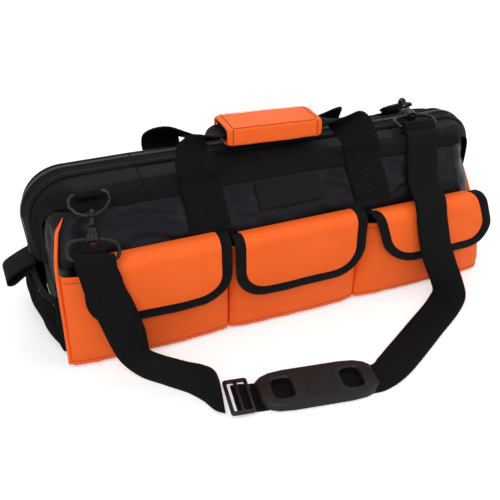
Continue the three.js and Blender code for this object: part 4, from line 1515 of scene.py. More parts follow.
@dataclass
class Handles:
    """Both carrying handles, each one length of webbing, and the padded grip."""

    shell: Shell
    palette: Palette
    leg_x: float = 112.0
    leg_half: float = 26.0
    leg_bottoms: tuple[tuple[float, float], tuple[float, float]] = ((157.5, 151.5), (153.0, 153.0))
    leg_heights: tuple[float, ...] = (160.5, 165, 170, 176, 182, 188, 193, 197)
    leg_lift: float = 1.35
    bend_z: float = 190.0
    bend_lift: float = 2.0
    box_half: float = 21.0
    box_heights: tuple[float, float] = (160.0, 187.0)
    box_lift: float = 2.9
    grip_y: float = -14.0
    grip_mid_z: float = 237.5
    grip_slope: float = 0.045
    grip_half: float = 64.0
    wrap_half_y: float = 25.2
    wrap_half_z: float = 12.4
    wrap_square: float = 0.22
    wrap_wall: float = 3.0
    wrap_fill: float = 0.7
    edge_half: tuple[float, float] = (23.2, 10.6)
    edge_square: float = 0.35
    edge_radius: float = 1.5
    core_depth: float = 4.0
    core_wall: float = 0.8
    stitch_out: float = 0.7
    edge_shares: tuple[float, float, float, float] = (0.13, 0.375, 0.395, 0.56)
    box_stitch: Stitch = Stitch(3.2, 2.3, 0.6)
    wrap_stitch: Stitch = Stitch(4.2, 3.3, 1.2)
    steps: int = 300

    def grip_z(self, x: float) -> float:
        """Return the grip's height at X; it hangs a little lower on the right."""
        return self.grip_mid_z - self.grip_slope * x

    def build(self) -> None:
        """Make both handles, their stitched boxes and the grip."""
        for wall, where, loop, body, (left, right) in (
            (-1, "front", self.loop_front(), Body.MOUTH_FRONT, self.leg_bottoms[0]),
            (1, "back", self.loop_back(), Body.MOUTH_BACK, self.leg_bottoms[1]),
        ):
            stations = self.leg(-1, wall, left) + loop + self.leg(1, wall, right)[::-1]
            nodes = [f"handle_{where}", f"handle_leg_{where}_left", f"handle_leg_{where}_right"]
            name = f"handle_{where}_webbing"
            piece = webbing(name, stations, self.steps, self.palette.webbing, None, nodes)
            low = 0.0 if wall < 0 else self.shell.back_drop
            metres((0, wall * 65, 194 - low))
            metres((0, wall * 65, 206 - low))
            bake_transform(piece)
            for side, key in SIDES:
                self.box_stitches(side, key, wall, where)
        self.build_grip()
        self.build_grip_ends()
        self.stitch_grip()

    def on_leg(self, x: float, z: float, wall: int, lift: float) -> Vector:
        """Return a point lifted off the cloth where a leg is sewn on.

        Args:
            x: Along the bag in millimetres.
            z: The height before the back's sag.
            wall: -1 front, 1 back.
            lift: How far off the cloth.

        Returns:
            The point in millimetres.
        """
        y_at = self.shell.front_y if wall < 0 else self.shell.back_y
        ahead, behind = (
            Vector((0, y_at(h), h - self.shell.sunk(y_at(h), h))) for h in (z + 2, z - 2)
        )
        run = (ahead - behind).normalized()
        out = Vector((0, wall * run.z, -wall * run.y))
        y = y_at(z)
        return Vector((x, y, z - self.shell.sunk(y, z))) + out * lift

    def leg(self, side: int, wall: int, bottom: float) -> Ribbon:
        """Return one leg's stations, from its sewn foot up.

        Args:
            side: -1 left, 1 right.
            wall: -1 front, 1 back.
            bottom: The height of its foot.

        Returns:
            The stations.
        """
        way = (1.0, 0.0, 0.0) if side < 0 else (-1.0, 0.0, 0.0)
        stations = []
        for z in (bottom, *self.leg_heights):
            lift = self.leg_lift if z < self.bend_z else self.bend_lift
            stations.append((tuple(self.on_leg(side * self.leg_x, z, wall, lift)), way, self.leg_half))
        return stations

    def box_stitches(self, side: int, key: str, wall: int, where: str) -> None:
        """Sew one leg on with a crossed box of stitches.

        Args:
            side: -1 left, 1 right.
            key: Left or right.
            wall: -1 front, 1 back.
            where: Front or back.
        """
        x0, x1 = side * self.leg_x - self.box_half, side * self.leg_x + self.box_half
        z0, z1 = self.box_heights
        box = [(x0, z0), (x1, z0), (x1, z1), (x0, z1), (x0, z0), (x1, z1), (x1, z0), (x0, z1)]
        row = box_row(box, 14, lambda x, z: self.on_leg(x, z, wall, self.box_lift))
        name = f"handle_leg_{where}_{key}_stitches"
        stitches(name, row, (0, wall, 0.5), self.palette.edge_thread, Body.BAG, self.box_stitch)

    def loop_front(self) -> Ribbon:
        """Return the front loop's stations.

        Returns:
            The stations, from the left leg over to the right.
        """
        x, y, g = self.leg_x, self.grip_y, self.grip_half
        left: Ribbon = [
            ((-x, -64, 203.6), (1, 0, 0), 26), ((-x - 1, -64, 214), (1, 0, 0), 26),
            ((-x - 2, -58, 226), (1, 0.02, -0.08), 26), ((-111, -49, 237), (0.92, 0.05, -0.38), 25),
            ((-103, -42, 243), (0.6, 0.42, -0.66), 23.5), ((-91, -33, 244.5), (0.2, 0.85, -0.45), 21.5),
            ((-78, -21, 242.5), (0.04, 0.98, -0.15), 20),
        ]
        middle: Ribbon = [((at, y, self.grip_z(at)), (0, 1, 0), 19.5) for at in (-g, -g / 2, 0, g / 2, g)]
        right: Ribbon = [
            ((77, -21, 237), (-0.04, 0.98, -0.15), 20), ((88, -33, 240), (-0.2, 0.85, -0.45), 21.5),
            ((98, -43, 240), (-0.6, 0.42, -0.66), 23.5), ((105, -51, 234), (-0.92, 0.05, -0.38), 25),
            ((x - 3, -59, 223), (-1, 0.02, -0.08), 26), ((x - 1, -64, 213), (-1, 0, 0), 26),
            ((x, -64, 203.6), (-1, 0, 0), 26),
        ]
        return left + middle + right

    def loop_back(self) -> Ribbon:
        """Return the back loop's stations.

        Returns:
            The stations, from the left leg over to the right.
        """
        slack: Ribbon = [((x, 39, z), (0, 0.82, -0.55), 20) for x, z in ((-40, 204.5), (0, 203.5), (40, 204))]
        return [
            ((-120, 64, 189.6), (1, 0, 0), 26), ((-123, 64, 202), (1, 0, 0), 26),
            ((-123, 58, 214), (0.95, 0.1, -0.25), 25), ((-108, 46, 221), (0.6, 0.5, -0.6), 23),
            ((-80, 40, 210), (0.2, 0.8, -0.55), 20.5), *slack,
            ((84, 41, 209), (-0.2, 0.78, -0.55), 20.5), ((110, 47, 210), (-0.6, 0.5, -0.55), 23),
            ((122, 58, 206), (-0.95, 0.1, -0.25), 25), ((122, 64, 199), (-1, 0, 0), 26),
            ((120, 64, 189.6), (-1, 0, 0), 26),
        ]

    def ring(self, share: float, half_y: float, half_z: float, square: float) -> tuple[float, float]:
        """Return a point of a rounded box outline.

        Args:
            share: How far round it, 0 to 1.
            half_y, half_z: Half its width and height in millimetres.
            square: 1 for an ellipse, down to 0 for a box.

        Returns:
            The point's Y and Z from the middle.
        """
        a = 2 * math.pi * share
        c, s = math.cos(a), math.sin(a)
        return (
            half_y * math.copysign(abs(c) ** square, c),
            half_z * math.copysign(abs(s) ** square, s),
        )

    def skin(self, x: float, v: float, out: float = 0.0) -> Vector:
        """Return a point of the wrap's skin, or of a skin that lies further out.

        Args:
            x: Along the grip in millimetres.
            v: How far round it, 0 to 1.
            out: How far outside the skin.

        Returns:
            The point in millimetres.
        """
        g = self.grip_half
        end = max(0.0, (abs(x) - g + 8) / 8)
        half_y = self.wrap_half_y - 0.9 * end ** 2 + out
        half_z = self.wrap_half_z - 1.0 * end ** 2 + out
        y, z = self.ring(v, half_y, half_z, self.wrap_square)
        soft = ripple(x, y * 1.2, z * 1.2, 26, 6.0) * 0.5 + 0.4 * math.cos(math.pi * x / (2 * g))
        y += soft * (1 if y > 0 else -1) * 0.4
        z += soft * (1 if z > 0 else -1)
        return Vector((x, self.grip_y + y, self.grip_z(x) + z))

    def build_grip(self) -> None:
        """Make the padded wrap."""
        g = self.grip_half
        mesh = surface("handle_wrap_cloth", 60, 96, lambda u, v: self.skin(mix(-g, g, u), v), sewn=True)
        piece = finish_piece(mesh.name, mesh, self.palette.orange, Body.MOUTH_FRONT, ["handle_wrap"])
        thicken(piece, self.wrap_wall, 1.0, 1)

    def build_grip_ends(self) -> None:
        """Make the wrap's end bindings, its core and the filling seen at its ends."""
        g, deep = self.grip_half, -self.core_depth
        for side, key in SIDES:
            middle = Vector((side * g, self.grip_y, self.grip_z(side * g)))
            outline = (self.ring(i / 64, *self.edge_half, self.edge_square) for i in range(65))
            path = [middle + Vector((0, y, z)) for y, z in outline]
            name = f"handle_wrap_edge_{key}"
            mesh = tube(name, path, self.edge_radius, closed=True)
            finish_piece(name, mesh, self.palette.orange, Body.MOUTH_FRONT)
        core = surface("handle_wrap_core", 8, 48, lambda u, v: self.skin(mix(-g + 2, g - 2, u), v, deep))
        thicken(finish_piece(core.name, core, self.palette.webbing, Body.MOUTH_FRONT), self.core_wall)
        for side, key in SIDES:

            def plug(u: float, v: float, side: int = side) -> Vector:
                """Put one vertex of the filling, from its edge in to its middle."""
                middle = Vector((side * (g - 1.5), self.grip_y, self.grip_z(side * g)))
                return self.skin(side * (g - 3), v, deep).lerp(middle, u)

            mesh = surface(f"handle_wrap_filling_{key}", 6, 48, plug)
            thicken(finish_piece(mesh.name, mesh, self.palette.webbing, Body.MOUTH_FRONT), self.core_wall)

    def stitch_grip(self) -> None:
        """Make the wrap's stitches: two rows along its top, one low in front and its end rows."""
        inner = self.grip_half - 6
        top_back, top_front, front_high, front_low = self.edge_shares
        rows = {}
        for key, share, normal in (
            ("top_front", top_front, (0, -0.3, 1)),
            ("top_back", top_back, (0, 0.3, 1)),
            ("front_low", front_low, (0, -1, -0.2)),
        ):
            along = range(-int(inner), int(inner) + 1, 3)
            rows[key] = ([self.skin(x, share, self.stitch_out) for x in along], normal)
        for side, end in SIDES:
            for face, first, last, normal in (
                ("top", top_back, top_front, (0, 0, 1)),
                ("front", front_high, front_low, (0, -1, 0)),
            ):
                turns = [mix(first, last, i / 12) for i in range(13)]
                rows[f"{face}_{end}"] = ([self.skin(side * inner, v, self.stitch_out) for v in turns], normal)
        for key, (row, normal) in rows.items():
            name = f"handle_wrap_stitches_{key}"
            stitches(name, row, normal, self.palette.thread, Body.MOUTH_FRONT, self.wrap_stitch)


@dataclass
class Trim:
    """Piping, net pocket, patch, tabs and the end loop."""

    shell: Shell
    palette: Palette
    piping_radius: float = 2.3
    piping_steps: int = 80
    piping_taper: int = 22
    piping_sewn: tuple[Point, ...] = ((-300.1, -107, 7), (-300.1, -107.5, 60), (-300.2, -107.5, 137))
    piping_low: tuple[float, ...] = (7, 14, 46, 80, 112, 145)
    piping_high: tuple[float, ...] = (154, 162, 170, 178, 184, 189)
    left_angle: float = 0.82
    net_x: float = -300.4
    net_half: float = 82.0
    net_low: float = 7.2
    net_high: float = 91.0
    net_thread: float = 0.9
    net_cells: tuple[int, int] = (64, 34)
    net_levels: tuple[tuple[float, float], ...] = ((7, 3), (25, 16), (54, 24), (78, 20), (91, 12))
    net_floor_z: float = 8.4
    net_wall_x: float = -298.2
    net_sides: tuple[tuple[str, float, float, float], ...] = (
        ("back", 0.0, 0.5, -297.0), ("front", math.pi, -0.2, -295.6),
    )
    net_tapes: tuple[tuple[str, float, float], ...] = (("hem", 83.0, 91.6), ("foot", 6.8, 12.0))
    corner_start: float = 66.0
    corner_radius: float = 38.0
    patch_half: float = 44.0
    patch_low: float = 164.0
    patch_high: float = 189.0
    patch_stitch: Stitch = Stitch(3.2, 2.3, 0.5)
    tab_half: float = 15.0
    loop_half: float = 22.0

    def build(self) -> None:
        """Make the trim."""
        self.build_piping()
        self.build_net()
        self.build_patch()
        self.build_tabs()

    def piping_left(self, z: float) -> Vector:
        """Return a point of the left piping above the pocket.

        Args:
            z: The height in millimetres.

        Returns:
            The point in millimetres.
        """
        s = self.shell.at(z)
        angle = self.left_angle
        reach = s.radius + 3.0 + self.shell.corner_bulge(z)
        return Vector((
            -(s.half_length - s.radius + reach * math.cos(angle)),
            s.front + s.radius - reach * math.sin(angle),
            z,
        ))

    def piping_right(self, z: float) -> Vector:
        """Return a point of the right piping, in the pressed-in corner.

        Args:
            z: The height in millimetres.

        Returns:
            The point in millimetres.
        """
        s = self.shell.at(z)
        angle = mix(0.4, 0.12, smooth((z - 125) / 25))
        return self.shell.pressed(s, 0.0, angle) + self.shell.pressed_out(s, angle) * 2.8

    def build_piping(self) -> None:
        """Make the orange piping up the front corners, sewn in and tapering at the top."""
        left = [Vector(p) for p in self.piping_sewn] + [self.piping_left(z) for z in self.piping_high]
        right = [self.piping_right(z) for z in (*self.piping_low, *self.piping_high[1:])]
        steps = self.piping_steps
        radii = [
            self.piping_radius * min(1.0, 0.2 + (steps - i) / self.piping_taper) for i in range(steps + 1)
        ]
        for key, points in (("left", left), ("right", right)):
            name = f"piping_{key}_cord"
            mesh = tube(name, through(points, steps), self.piping_radius, radii=radii)
            finish_piece(name, mesh, self.palette.piping, Body.BAG, [f"piping_{key}"])

    def net_point(self, angle: float, z: float, extra: float = 0.0) -> Vector:
        """A point of the net pocket.

        Args:
            angle: From 0 at its back edge to pi at its front edge.
            z: The height in millimetres.
            extra: How far outside the net.

        Returns:
            The point in millimetres.
        """
        y = self.net_half * math.cos(angle)
        out = (between(self.net_levels, z) + 3) * abs(math.sin(angle)) ** 0.8
        soft = ripple(0, y, z, 28, 5.0) * 1.2 * math.sin(angle)
        return Vector((self.net_x - max(1.0, out) - soft - extra, y, z))

    def net_mesh(self) -> Mesh:
        """Return the net's slanting cells, still flat sheets for the thread modifier.

        Returns:
            The mesh in metres.
        """
        columns, rows = self.net_cells
        bm = bmesh.new()
        bmesh.ops.create_grid(bm, x_segments=columns, y_segments=rows, size=0.5)
        bmesh.ops.poke(bm, faces=bm.faces)
        half_cell = 0.5 / columns
        straight = [e for e in bm.edges if abs(abs(e.verts[0].co.x - e.verts[1].co.x) - half_cell) > 1e-4]
        bmesh.ops.dissolve_edges(bm, edges=straight, use_verts=False)
        for v in bm.verts:
            u, w = v.co.x + 0.5, v.co.y + 0.5
            v.co = metres(self.net_point(math.pi * u, mix(self.net_low, self.net_high, w)))
        return settled("end_pocket_net", bm)

    def build_net(self) -> None:
        """Make the net pocket on the left end, with its floor, sides and tapes."""
        mesh = self.net_mesh()
        piece = finish_piece(mesh.name, mesh, self.palette.net, Body.BAG, ["end_pocket_mesh"])
        threads = piece.modifiers.new("threads", "WIREFRAME")
        threads.thickness = self.net_thread * MM
        threads.use_replace = True
        threads.use_boundary = True
        threads.use_even_offset = False

        def floor(u: float, v: float) -> Vector:
            """Put one vertex of the pocket's floor, which follows the wall round to the corners."""
            outer = self.net_point(math.pi * u, self.net_floor_z)
            over = max(0.0, abs(outer.y) - self.corner_start)
            inset = self.corner_radius - math.sqrt(self.corner_radius ** 2 - over * over)
            return outer.lerp(Vector((self.net_wall_x + inset, outer.y, self.net_floor_z)), v)

        under = surface("end_pocket_floor_cloth", 48, 4, floor)
        thicken(finish_piece(under.name, under, self.palette.band, Body.BAG), 1.2)
        for key, angle, sweep, deep in self.net_sides:

            def side(
                u: float, v: float, angle: float = angle, sweep: float = sweep, deep: float = deep
            ) -> Vector:
                """Put one vertex of the strip that joins the net's edge to the wall."""
                z = mix(self.net_low, self.net_high, v)
                edge = self.net_point(angle + sweep * max(0.0, (u - 0.25) / 0.75), z, -0.9)
                return Vector((deep, edge.y, z)).lerp(edge, min(1.0, u / 0.25))

            strip = surface(f"end_pocket_side_{key}_cloth", 12, 20, side)
            thicken(finish_piece(strip.name, strip, self.palette.band, Body.BAG), 1.0)
        for key, low, high in self.net_tapes:

            def band(u: float, v: float, low: float = low, high: float = high) -> Vector:
                """Put one vertex of a tape on the net."""
                return self.net_point(math.pi * u, mix(low, high, v), 0.7 * math.sin(math.pi * v))

            tape = surface(f"end_pocket_{key}_tape", 60, 4, band)
            thicken(finish_piece(tape.name, tape, self.palette.binding, Body.BAG), 1.6)

    def build_patch(self) -> None:
        """Make the bare patch between the front legs."""

        def put(x: float, z: float, lift: float) -> Vector:
            """Return a point on the patch."""
            slope = (self.shell.front_y(z + 2) - self.shell.front_y(z - 2)) / 4
            out = Vector((0, -1, slope)).normalized()
            return Vector((x, self.shell.front_y(z), z)) + out * lift

        def cloth(u: float, v: float) -> Vector:
            """Put one vertex of the patch."""
            x, z = mix(-self.patch_half, self.patch_half, u), mix(self.patch_low, self.patch_high, v)
            return put(x, z, 1.7)

        mesh = surface("label_patch_cloth", 40, 16, cloth)
        thicken(finish_piece(mesh.name, mesh, self.palette.band, Body.BAG, ["label_patch"]), 1.2)
        x, low, high = self.patch_half - 2.5, self.patch_low + 2.4, self.patch_high - 2.2
        loop = [(-x, low), (x, low), (x, high), (-x, high), (-x, low)]
        row = box_row(loop, 12, lambda x, z: put(x, z, 2.5))
        name = "label_patch_stitches"
        stitches(name, row, (0, -1, 0.6), self.palette.edge_thread, Body.BAG, self.patch_stitch)

    def build_tabs(self) -> None:
        """Make the webbing tabs of the D-rings and the end loop."""
        across = (1.0, 0.0, 0.0)
        left = [
            (-47, 210.4), (-54, 210), (-60.7, 214.6), (-63.8, 217.4), (-67.2, 217.6),
            (-69.5, 214.9), (-69.2, 211.7), (-66.6, 210.3), (-62.6, 209.4), (-59.5, 207.6),
        ]
        right = [
            (59, 191.9), (50, 195.7), (44.5, 199.1), (41.3, 203), (39.4, 207.4),
            (37.8, 211.2), (35.2, 212.4), (32.1, 210.6), (31.8, 207.4), (33.5, 204.6),
        ]
        for key, x, line in (("left", -248.0, left), ("right", 220.0, right)):
            stations: Ribbon = [((x, y, z), across, self.tab_half) for y, z in line]
            node = f"dring_tab_{key}"
            webbing(f"{node}_webbing", stations, 40, self.palette.webbing, Body.BAG, [node], TAB_THICK)
        line = (
            (-313.9, 106.6), (-320.5, 105), (-336, 98), (-350, 89),
            (-352, 82), (-346, 80.5), (-334, 88), (-319, 98),
        )
        loop: Ribbon = [((x, 0.0, z), (0.0, 1.0, 0.0), self.loop_half) for x, z in line]
        webbing("end_loop_webbing", loop, 50, self.palette.webbing, Body.BAG, ["end_loop"], TAB_THICK)


def smooth_copy(
    name: str, node: str, nodes: dict[str, Object], material: Material, body: Body, bevel: float = 0.4
) -> None:
    """A rounded copy of a rigid CAD node.

    Args:
        name: The piece's name.
        node: The CAD node.
        nodes: The frame's nodes.
        material: Its finish.
        body: What it rides on.
        bevel: The width of its rounded edges, in millimetres.
    """
    bm = bmesh.new()
    bm.from_mesh(nodes[node].data)
    bmesh.ops.remove_doubles(bm, verts=bm.verts, dist=2e-5)
    bmesh.ops.dissolve_limit(bm, angle_limit=math.radians(1.5), verts=bm.verts, edges=bm.edges)
    mesh = settled(name, bm)
    mesh.materials.clear()
    piece = finish_piece(name, mesh, material, body, [node])
    edge = piece.modifiers.new("edges", "BEVEL")
    edge.width = bevel * MM
    edge.segments = 2
    edge.limit_method = "ANGLE"
    edge.angle_limit = math.radians(40)
    rounds = piece.modifiers.new("shading", "WEIGHTED_NORMAL")
    rounds.keep_sharp = True


@dataclass
class ShoulderStrap:
    """The shoulder strap with its hooks, adjuster and pad."""

    palette: Palette
    half: float = 23.0
    pad_centre: Point = (-34.0, -253.0, 0.0)
    pad_along: Point = (0.988, -0.154, 0.0)
    pad_across: Point = (0.154, 0.988, 0.0)
    arc_left: Point = (-250.0, -87.0, 197.0)
    arc_right: Point = (218.0, 13.3, 224.4)
    pull_left: Point = (0.184, 0.797, 0.573)
    pull_right: Point = (0.1, 0.98, 0.17)
    hook_length: float = 53.1
    pad_top: float = 12.0
    dot_steps: tuple[float, float] = (3.4, 3.0)
    dot_field: tuple[float, float] = (26.0, 25.0)
    dot_size: Point = (1.9, 1.9, 1.0)
    rib_start: float = 58.5
    rib_step: float = 2.8
    rib_count: int = 5
    rib_size: Point = (34.0, 1.3, 1.2)

    def hook_bar(self, arc: Point, pull: Point) -> tuple[Vector, Vector]:
        """Return the middle of a hook's strap bar, and the way that the bar runs.

        Args:
            arc: The middle of the hook's arc.
            pull: Which way the strap pulls the hook.

        Returns:
            The middle and the way.
        """
        way = Vector(pull).normalized()
        across = Vector((1, 0, 0)) - way * way.x
        return Vector(arc) - way * self.hook_length, across.normalized()

    def on_pad(self, along: float, z: float, across: float = 0.0) -> Point:
        """Return a point by its place along, over and across the pad."""
        c, a, b = self.pad_centre, self.pad_along, self.pad_across
        return (c[0] + a[0] * along + b[0] * across, c[1] + a[1] * along + b[1] * across, z)

    def build(self, nodes: dict[str, Object]) -> None:
        """Make both webbing runs, the hooks, the adjuster and the pad.

        Args:
            nodes: The frame's CAD nodes.
        """
        for key, run, steps in (("left", self.left_run(), 330), ("right", self.right_run(), 460)):
            webbing(f"strap_{key}_webbing", run, steps, self.palette.webbing, Body.STRAP, [f"strap_{key}"])
        for key, hook, gate in (
            ("left", Body.HOOK_LEFT, Body.GATE_LEFT),
            ("right", Body.HOOK_RIGHT, Body.GATE_RIGHT),
        ):
            smooth_copy(f"dring_{key}_bar", f"dring_{key}", nodes, self.palette.plastic, Body.BAG)
            for part, body in (("head", hook), ("gate", gate), ("loop", Body.STRAP)):
                node = f"hook_{part}_{key}"
                smooth_copy(f"{node}_moulding", node, nodes, self.palette.plastic, body)
        smooth_copy("strap_adjuster_moulding", "strap_adjuster", nodes, self.palette.plastic, Body.ADJUSTER)
        self.build_pad(nodes)

    def left_run(self) -> Ribbon:
        """Return the left run's stations.

        Returns:
            The stations, from its hook down to the pad.
        """
        h = self.half
        bar, a = self.hook_bar(self.arc_left, self.pull_left)
        loop = ((0.2, 3.3, -5.4), (0, 4.6, 0.9), (-0.1, 0, 4.9), (0, -5.2, 0.9), (0.4, -5.6, -8.6))
        return [(tuple(bar + Vector(q)), tuple(a), h) for q in loop] + [
            ((-256, -134.8, 143), (0.98, -0.1, -0.05), h), ((-253.5, -138.6, 128), (1, -0.03, 0), h),
            ((-247, -140.8, 107), (1, 0, 0.12), h), ((-240, -142.5, 82), (1, -0.05, 0.22), h),
            ((-234, -146, 58), (0.95, -0.15, 0.4), h), ((-229, -152, 38), (0.7, -0.3, 0.7), h),
            ((-220, -162, 27), (0.25, -0.15, 1), h), ((-202, -181, 25.2), (0, 0, 1), h),
            ((-180, -203, 25.2), (0, 0.05, 1), h), ((-164, -219, 23.5), (0.1, 0.3, 0.95), h),
            ((-154, -229, 17), (0.2, 0.7, 0.55), h), ((-148, -233.5, 10.5), (0.17, 0.95, 0.2), h),
        ]

    def right_run(self) -> Ribbon:
        """Return the right run's stations.

        Returns:
            The stations, from under the pad up to its hook.
        """
        h, p = self.half, self.pad_across
        bar, a = self.hook_bar(self.arc_right, self.pull_right)
        under = ((-102, 4.5), (-90, 4.4), (-78, 2.2), (-40, 2), (0, 2), (45, 2), (78, 2.2))
        loop = ((-1.2, -8.6, -3.8), (-0.1, -5.6, 0.2), (0.1, -0.2, 5.2), (0.1, 5, 0.3), (0.1, 4.2, -5.7))
        rise = (
            (185, -138, 128), (184, -134.5, 142), (185, -126, 152), (187, -112, 158), (190, -99, 167),
            (195.5, -85, 181), (201, -73, 195), (206, -64, 205), (209.4, -56, 210.4),
        )
        run: Ribbon = [(self.on_pad(s, z), p, h) for s, z in under]
        run += [
            ((66, -257, 3), (-0.2, 0.95, 0), h), ((100, -237, 3), (-0.5, 0.86, 0), h),
            ((150, -205, 3), (-0.53, 0.85, 0), h), ((200, -173, 4), (-0.6, 0.8, 0.05), h),
            ((217, -160, 12), (-0.85, 0.5, 0.1), h), ((215, -153, 28), (-1, 0.2, 0), h),
            ((207, -147, 50), (-1, 0.05, -0.1), h), ((197, -142.5, 78), (-1, 0, -0.15), h),
            ((190, -139.5, 106), (-1, 0, -0.1), h),
        ]
        run += [(q, (-1.0, 0.0, 0.0), h) for q in rise]
        return run + [(tuple(bar + Vector(q)), tuple(-a), h) for q in loop]

    def build_pad(self, nodes: dict[str, Object]) -> None:
        """Make the moulded pad with its ribs and raised dots.

        Args:
            nodes: The frame's CAD nodes.
        """
        smooth_copy("shoulder_pad_moulding", "shoulder_pad", nodes, self.palette.rubber, Body.PAD, 1.0)
        turn = math.atan2(self.pad_along[1], self.pad_along[0])
        places = []
        for i, j in product(range(-7, 8), range(-8, 9)):
            shift = self.dot_steps[1] / 2 if i % 2 else 0.0
            along, across = i * self.dot_steps[0], j * self.dot_steps[1] + shift
            if abs(along) < self.dot_field[0] and abs(across) < self.dot_field[1]:
                places.append(Matrix.Translation(self.on_pad(along, self.pad_top + 0.1, across)))
        dots = repeated("shoulder_pad_dots", bead(*self.dot_size), places)
        finish_piece(dots.name, dots, self.palette.rubber, Body.PAD)
        upright = Matrix.Rotation(turn + math.pi / 2, 4, "Z")
        ribs = []
        for side, k in product((-1, 1), range(self.rib_count)):
            along = side * (self.rib_start + self.rib_step * k)
            ribs.append(Matrix.Translation(self.on_pad(along, self.pad_top)) @ upright)
        mesh = repeated("shoulder_pad_ribs", bead(*self.rib_size), ribs)
        finish_piece(mesh.name, mesh, self.palette.rubber, Body.PAD)


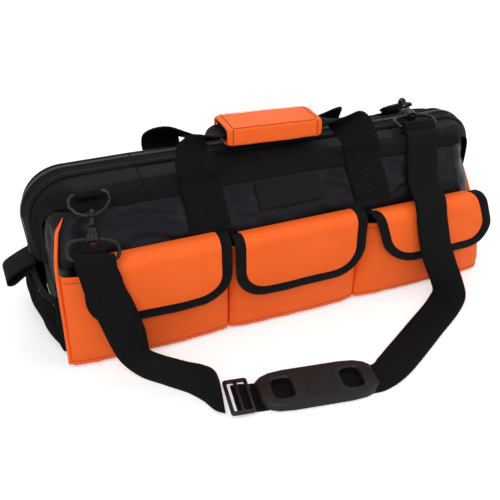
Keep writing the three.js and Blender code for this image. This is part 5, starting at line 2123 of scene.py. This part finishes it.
@dataclass
class Studio:
    """Camera, lamps and floor."""

    azimuth: float = -22.7
    elevation: float = 33.1
    roll: float = 0.7
    focal_pixels: float = 772.8
    distance: float = 1108.1
    target: Point = (-17.4, 0.0, 41.7)
    sensor: float = 36.0
    picture_pixels: int = 500
    sky: float = 0.45
    floor_half: float = 6.0
    floor_grey: float = 0.8
    floor_glow: float = 0.42
    floor_rough: float = 0.9
    floor_z: float = -0.0004
    lamp_aim: Point = (0.0, 0.0, 0.1)
    lamps: tuple[tuple[str, Point, float, float], ...] = (
        ("key", (-0.9, -1.3, 1.9), 1.4, 25.0),
        ("fill", (1.6, -1.2, 1.3), 1.8, 12.5),
        ("back", (0.4, 1.5, 1.6), 1.6, 12.0),
    )

    def seen_rays(self, tree: NodeTree) -> NodeSocket:
        """Return a socket that is 1 for camera, glossy and transmission rays.

        Args:
            tree: The node tree to add the nodes to.

        Returns:
            The socket.
        """
        path = tree.nodes.new("ShaderNodeLightPath")
        total = path.outputs["Is Camera Ray"]
        for name in ("Is Glossy Ray", "Is Transmission Ray"):
            larger = tree.nodes.new("ShaderNodeMath")
            larger.operation = "MAXIMUM"
            tree.links.new(total, larger.inputs[0])
            tree.links.new(path.outputs[name], larger.inputs[1])
            total = larger.outputs["Value"]
        return total

    def build(self) -> None:
        """Set the camera, lamps, world and floor."""
        scene = bpy.context.scene
        scene.view_settings.view_transform = "Standard"
        self.build_camera(scene)
        self.build_world(scene)
        self.build_floor()
        for name, place, size, power in self.lamps:
            self.lamp(name, place, size, power)

    def build_camera(self, scene: Scene) -> None:
        """Place the camera where the photograph was taken from.

        Args:
            scene: The scene.
        """
        a, e, r = (math.radians(v) for v in (self.azimuth, self.elevation, self.roll))
        back = Vector((math.sin(a) * math.cos(e), -math.cos(a) * math.cos(e), math.sin(e)))
        right = Vector((0, 0, 1)).cross(back).normalized()
        up = back.cross(right)
        right, up = right * math.cos(r) + up * math.sin(r), up * math.cos(r) - right * math.sin(r)
        camera = bpy.data.cameras.new("camera")
        camera.sensor_width = self.sensor
        camera.lens = self.sensor * self.focal_pixels / self.picture_pixels
        camera.clip_start = 0.01
        eye = bpy.data.objects.new("camera", camera)
        scene.collection.objects.link(eye)
        place = metres(self.target) + back * self.distance * MM
        eye.matrix_world = axes(right, up, back, place)
        scene.camera = eye

    def build_world(self, scene: Scene) -> None:
        """Light evenly from all round, and show white behind the object.

        Args:
            scene: The scene.
        """
        world = bpy.data.worlds.new("studio")
        world.use_nodes = True
        nodes, links = world.node_tree.nodes, world.node_tree.links
        light = nodes["Background"]
        light.inputs["Color"].default_value = (1, 1, 1, 1)
        light.inputs["Strength"].default_value = self.sky
        seen = nodes.new("ShaderNodeBackground")
        seen.inputs["Color"].default_value = (1, 1, 1, 1)
        blend = nodes.new("ShaderNodeMixShader")
        links.new(self.seen_rays(world.node_tree), blend.inputs["Fac"])
        links.new(light.outputs["Background"], blend.inputs[1])
        links.new(seen.outputs["Background"], blend.inputs[2])
        links.new(blend.outputs["Shader"], nodes["World Output"].inputs["Surface"])
        scene.world = world

    def build_floor(self) -> None:
        """Make the pale floor, white to the camera with a soft shadow."""
        bm = bmesh.new()
        bmesh.ops.create_grid(bm, x_segments=1, y_segments=1, size=self.floor_half)
        mesh = settled("floor", bm)
        floor = bpy.data.objects.new("floor", mesh)
        bpy.context.scene.collection.objects.link(floor)
        floor.location.z = self.floor_z
        material = bpy.data.materials.new("pale_floor")
        material.use_nodes = True
        nodes, links = material.node_tree.nodes, material.node_tree.links
        shader = nodes["Principled BSDF"]
        shader.inputs["Base Color"].default_value = (*[self.floor_grey] * 3, 1)
        shader.inputs["Roughness"].default_value = self.floor_rough
        glow = nodes.new("ShaderNodeEmission")
        strength = nodes.new("ShaderNodeMath")
        strength.operation = "MULTIPLY"
        strength.inputs[1].default_value = self.floor_glow
        links.new(self.seen_rays(material.node_tree), strength.inputs[0])
        links.new(strength.outputs["Value"], glow.inputs["Strength"])
        both = nodes.new("ShaderNodeAddShader")
        links.new(shader.outputs["BSDF"], both.inputs[0])
        links.new(glow.outputs["Emission"], both.inputs[1])
        links.new(both.outputs["Shader"], nodes["Material Output"].inputs["Surface"])
        mesh.materials.append(material)

    def lamp(self, name: str, place: Point, size: float, power: float) -> None:
        """Add one square area lamp aimed at the bag.

        Args:
            name: Its name.
            place: Where it stands, in metres.
            size: Its side, in metres.
            power: Its power in watts.
        """
        light = bpy.data.lights.new(name, "AREA")
        light.shape = "SQUARE"
        light.size = size
        light.energy = power
        holder = bpy.data.objects.new(name, light)
        holder.location = place
        way = Vector(self.lamp_aim) - Vector(place)
        holder.rotation_euler = way.to_track_quat("-Z", "Y").to_euler()
        bpy.context.scene.collection.objects.link(holder)


def dress_carried_nodes(palette: Palette, nodes: dict[str, Object]) -> None:
    """Give the CAD nodes that stay in view their finishes.

    Args:
        palette: The finishes.
        nodes: The frame's CAD nodes.
    """
    finishes = {
        "base_panel": palette.board,
        "base_board": palette.board,
        "stiffener_front": palette.steel,
        "stiffener_back": palette.steel,
    }
    for name, material in finishes.items():
        mesh = nodes[name].data
        mesh.materials.clear()
        mesh.materials.append(material)


def main() -> None:
    """Build the bag, piece by piece, over the frame."""
    logging.basicConfig(level=logging.INFO, format="%(message)s")
    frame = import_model()
    nodes = frame["nodes"]
    palette = Palette()
    Studio().build()
    shell = Shell(palette)
    shell.build()
    FrontPockets(shell, palette).build()
    Mouth(shell, palette).build()
    Handles(shell, palette).build()
    Trim(shell, palette).build()
    ShoulderStrap(palette).build(nodes)
    smooth_copy("zip_slider_body", "zip_slider", nodes, palette.metal, Body.SLIDER)
    smooth_copy("zip_pull_tag", "zip_pull", nodes, palette.metal, Body.PULL)
    dress_carried_nodes(palette, nodes)
    bpy.context.view_layer.update()


if __name__ == "__main__":
    main()
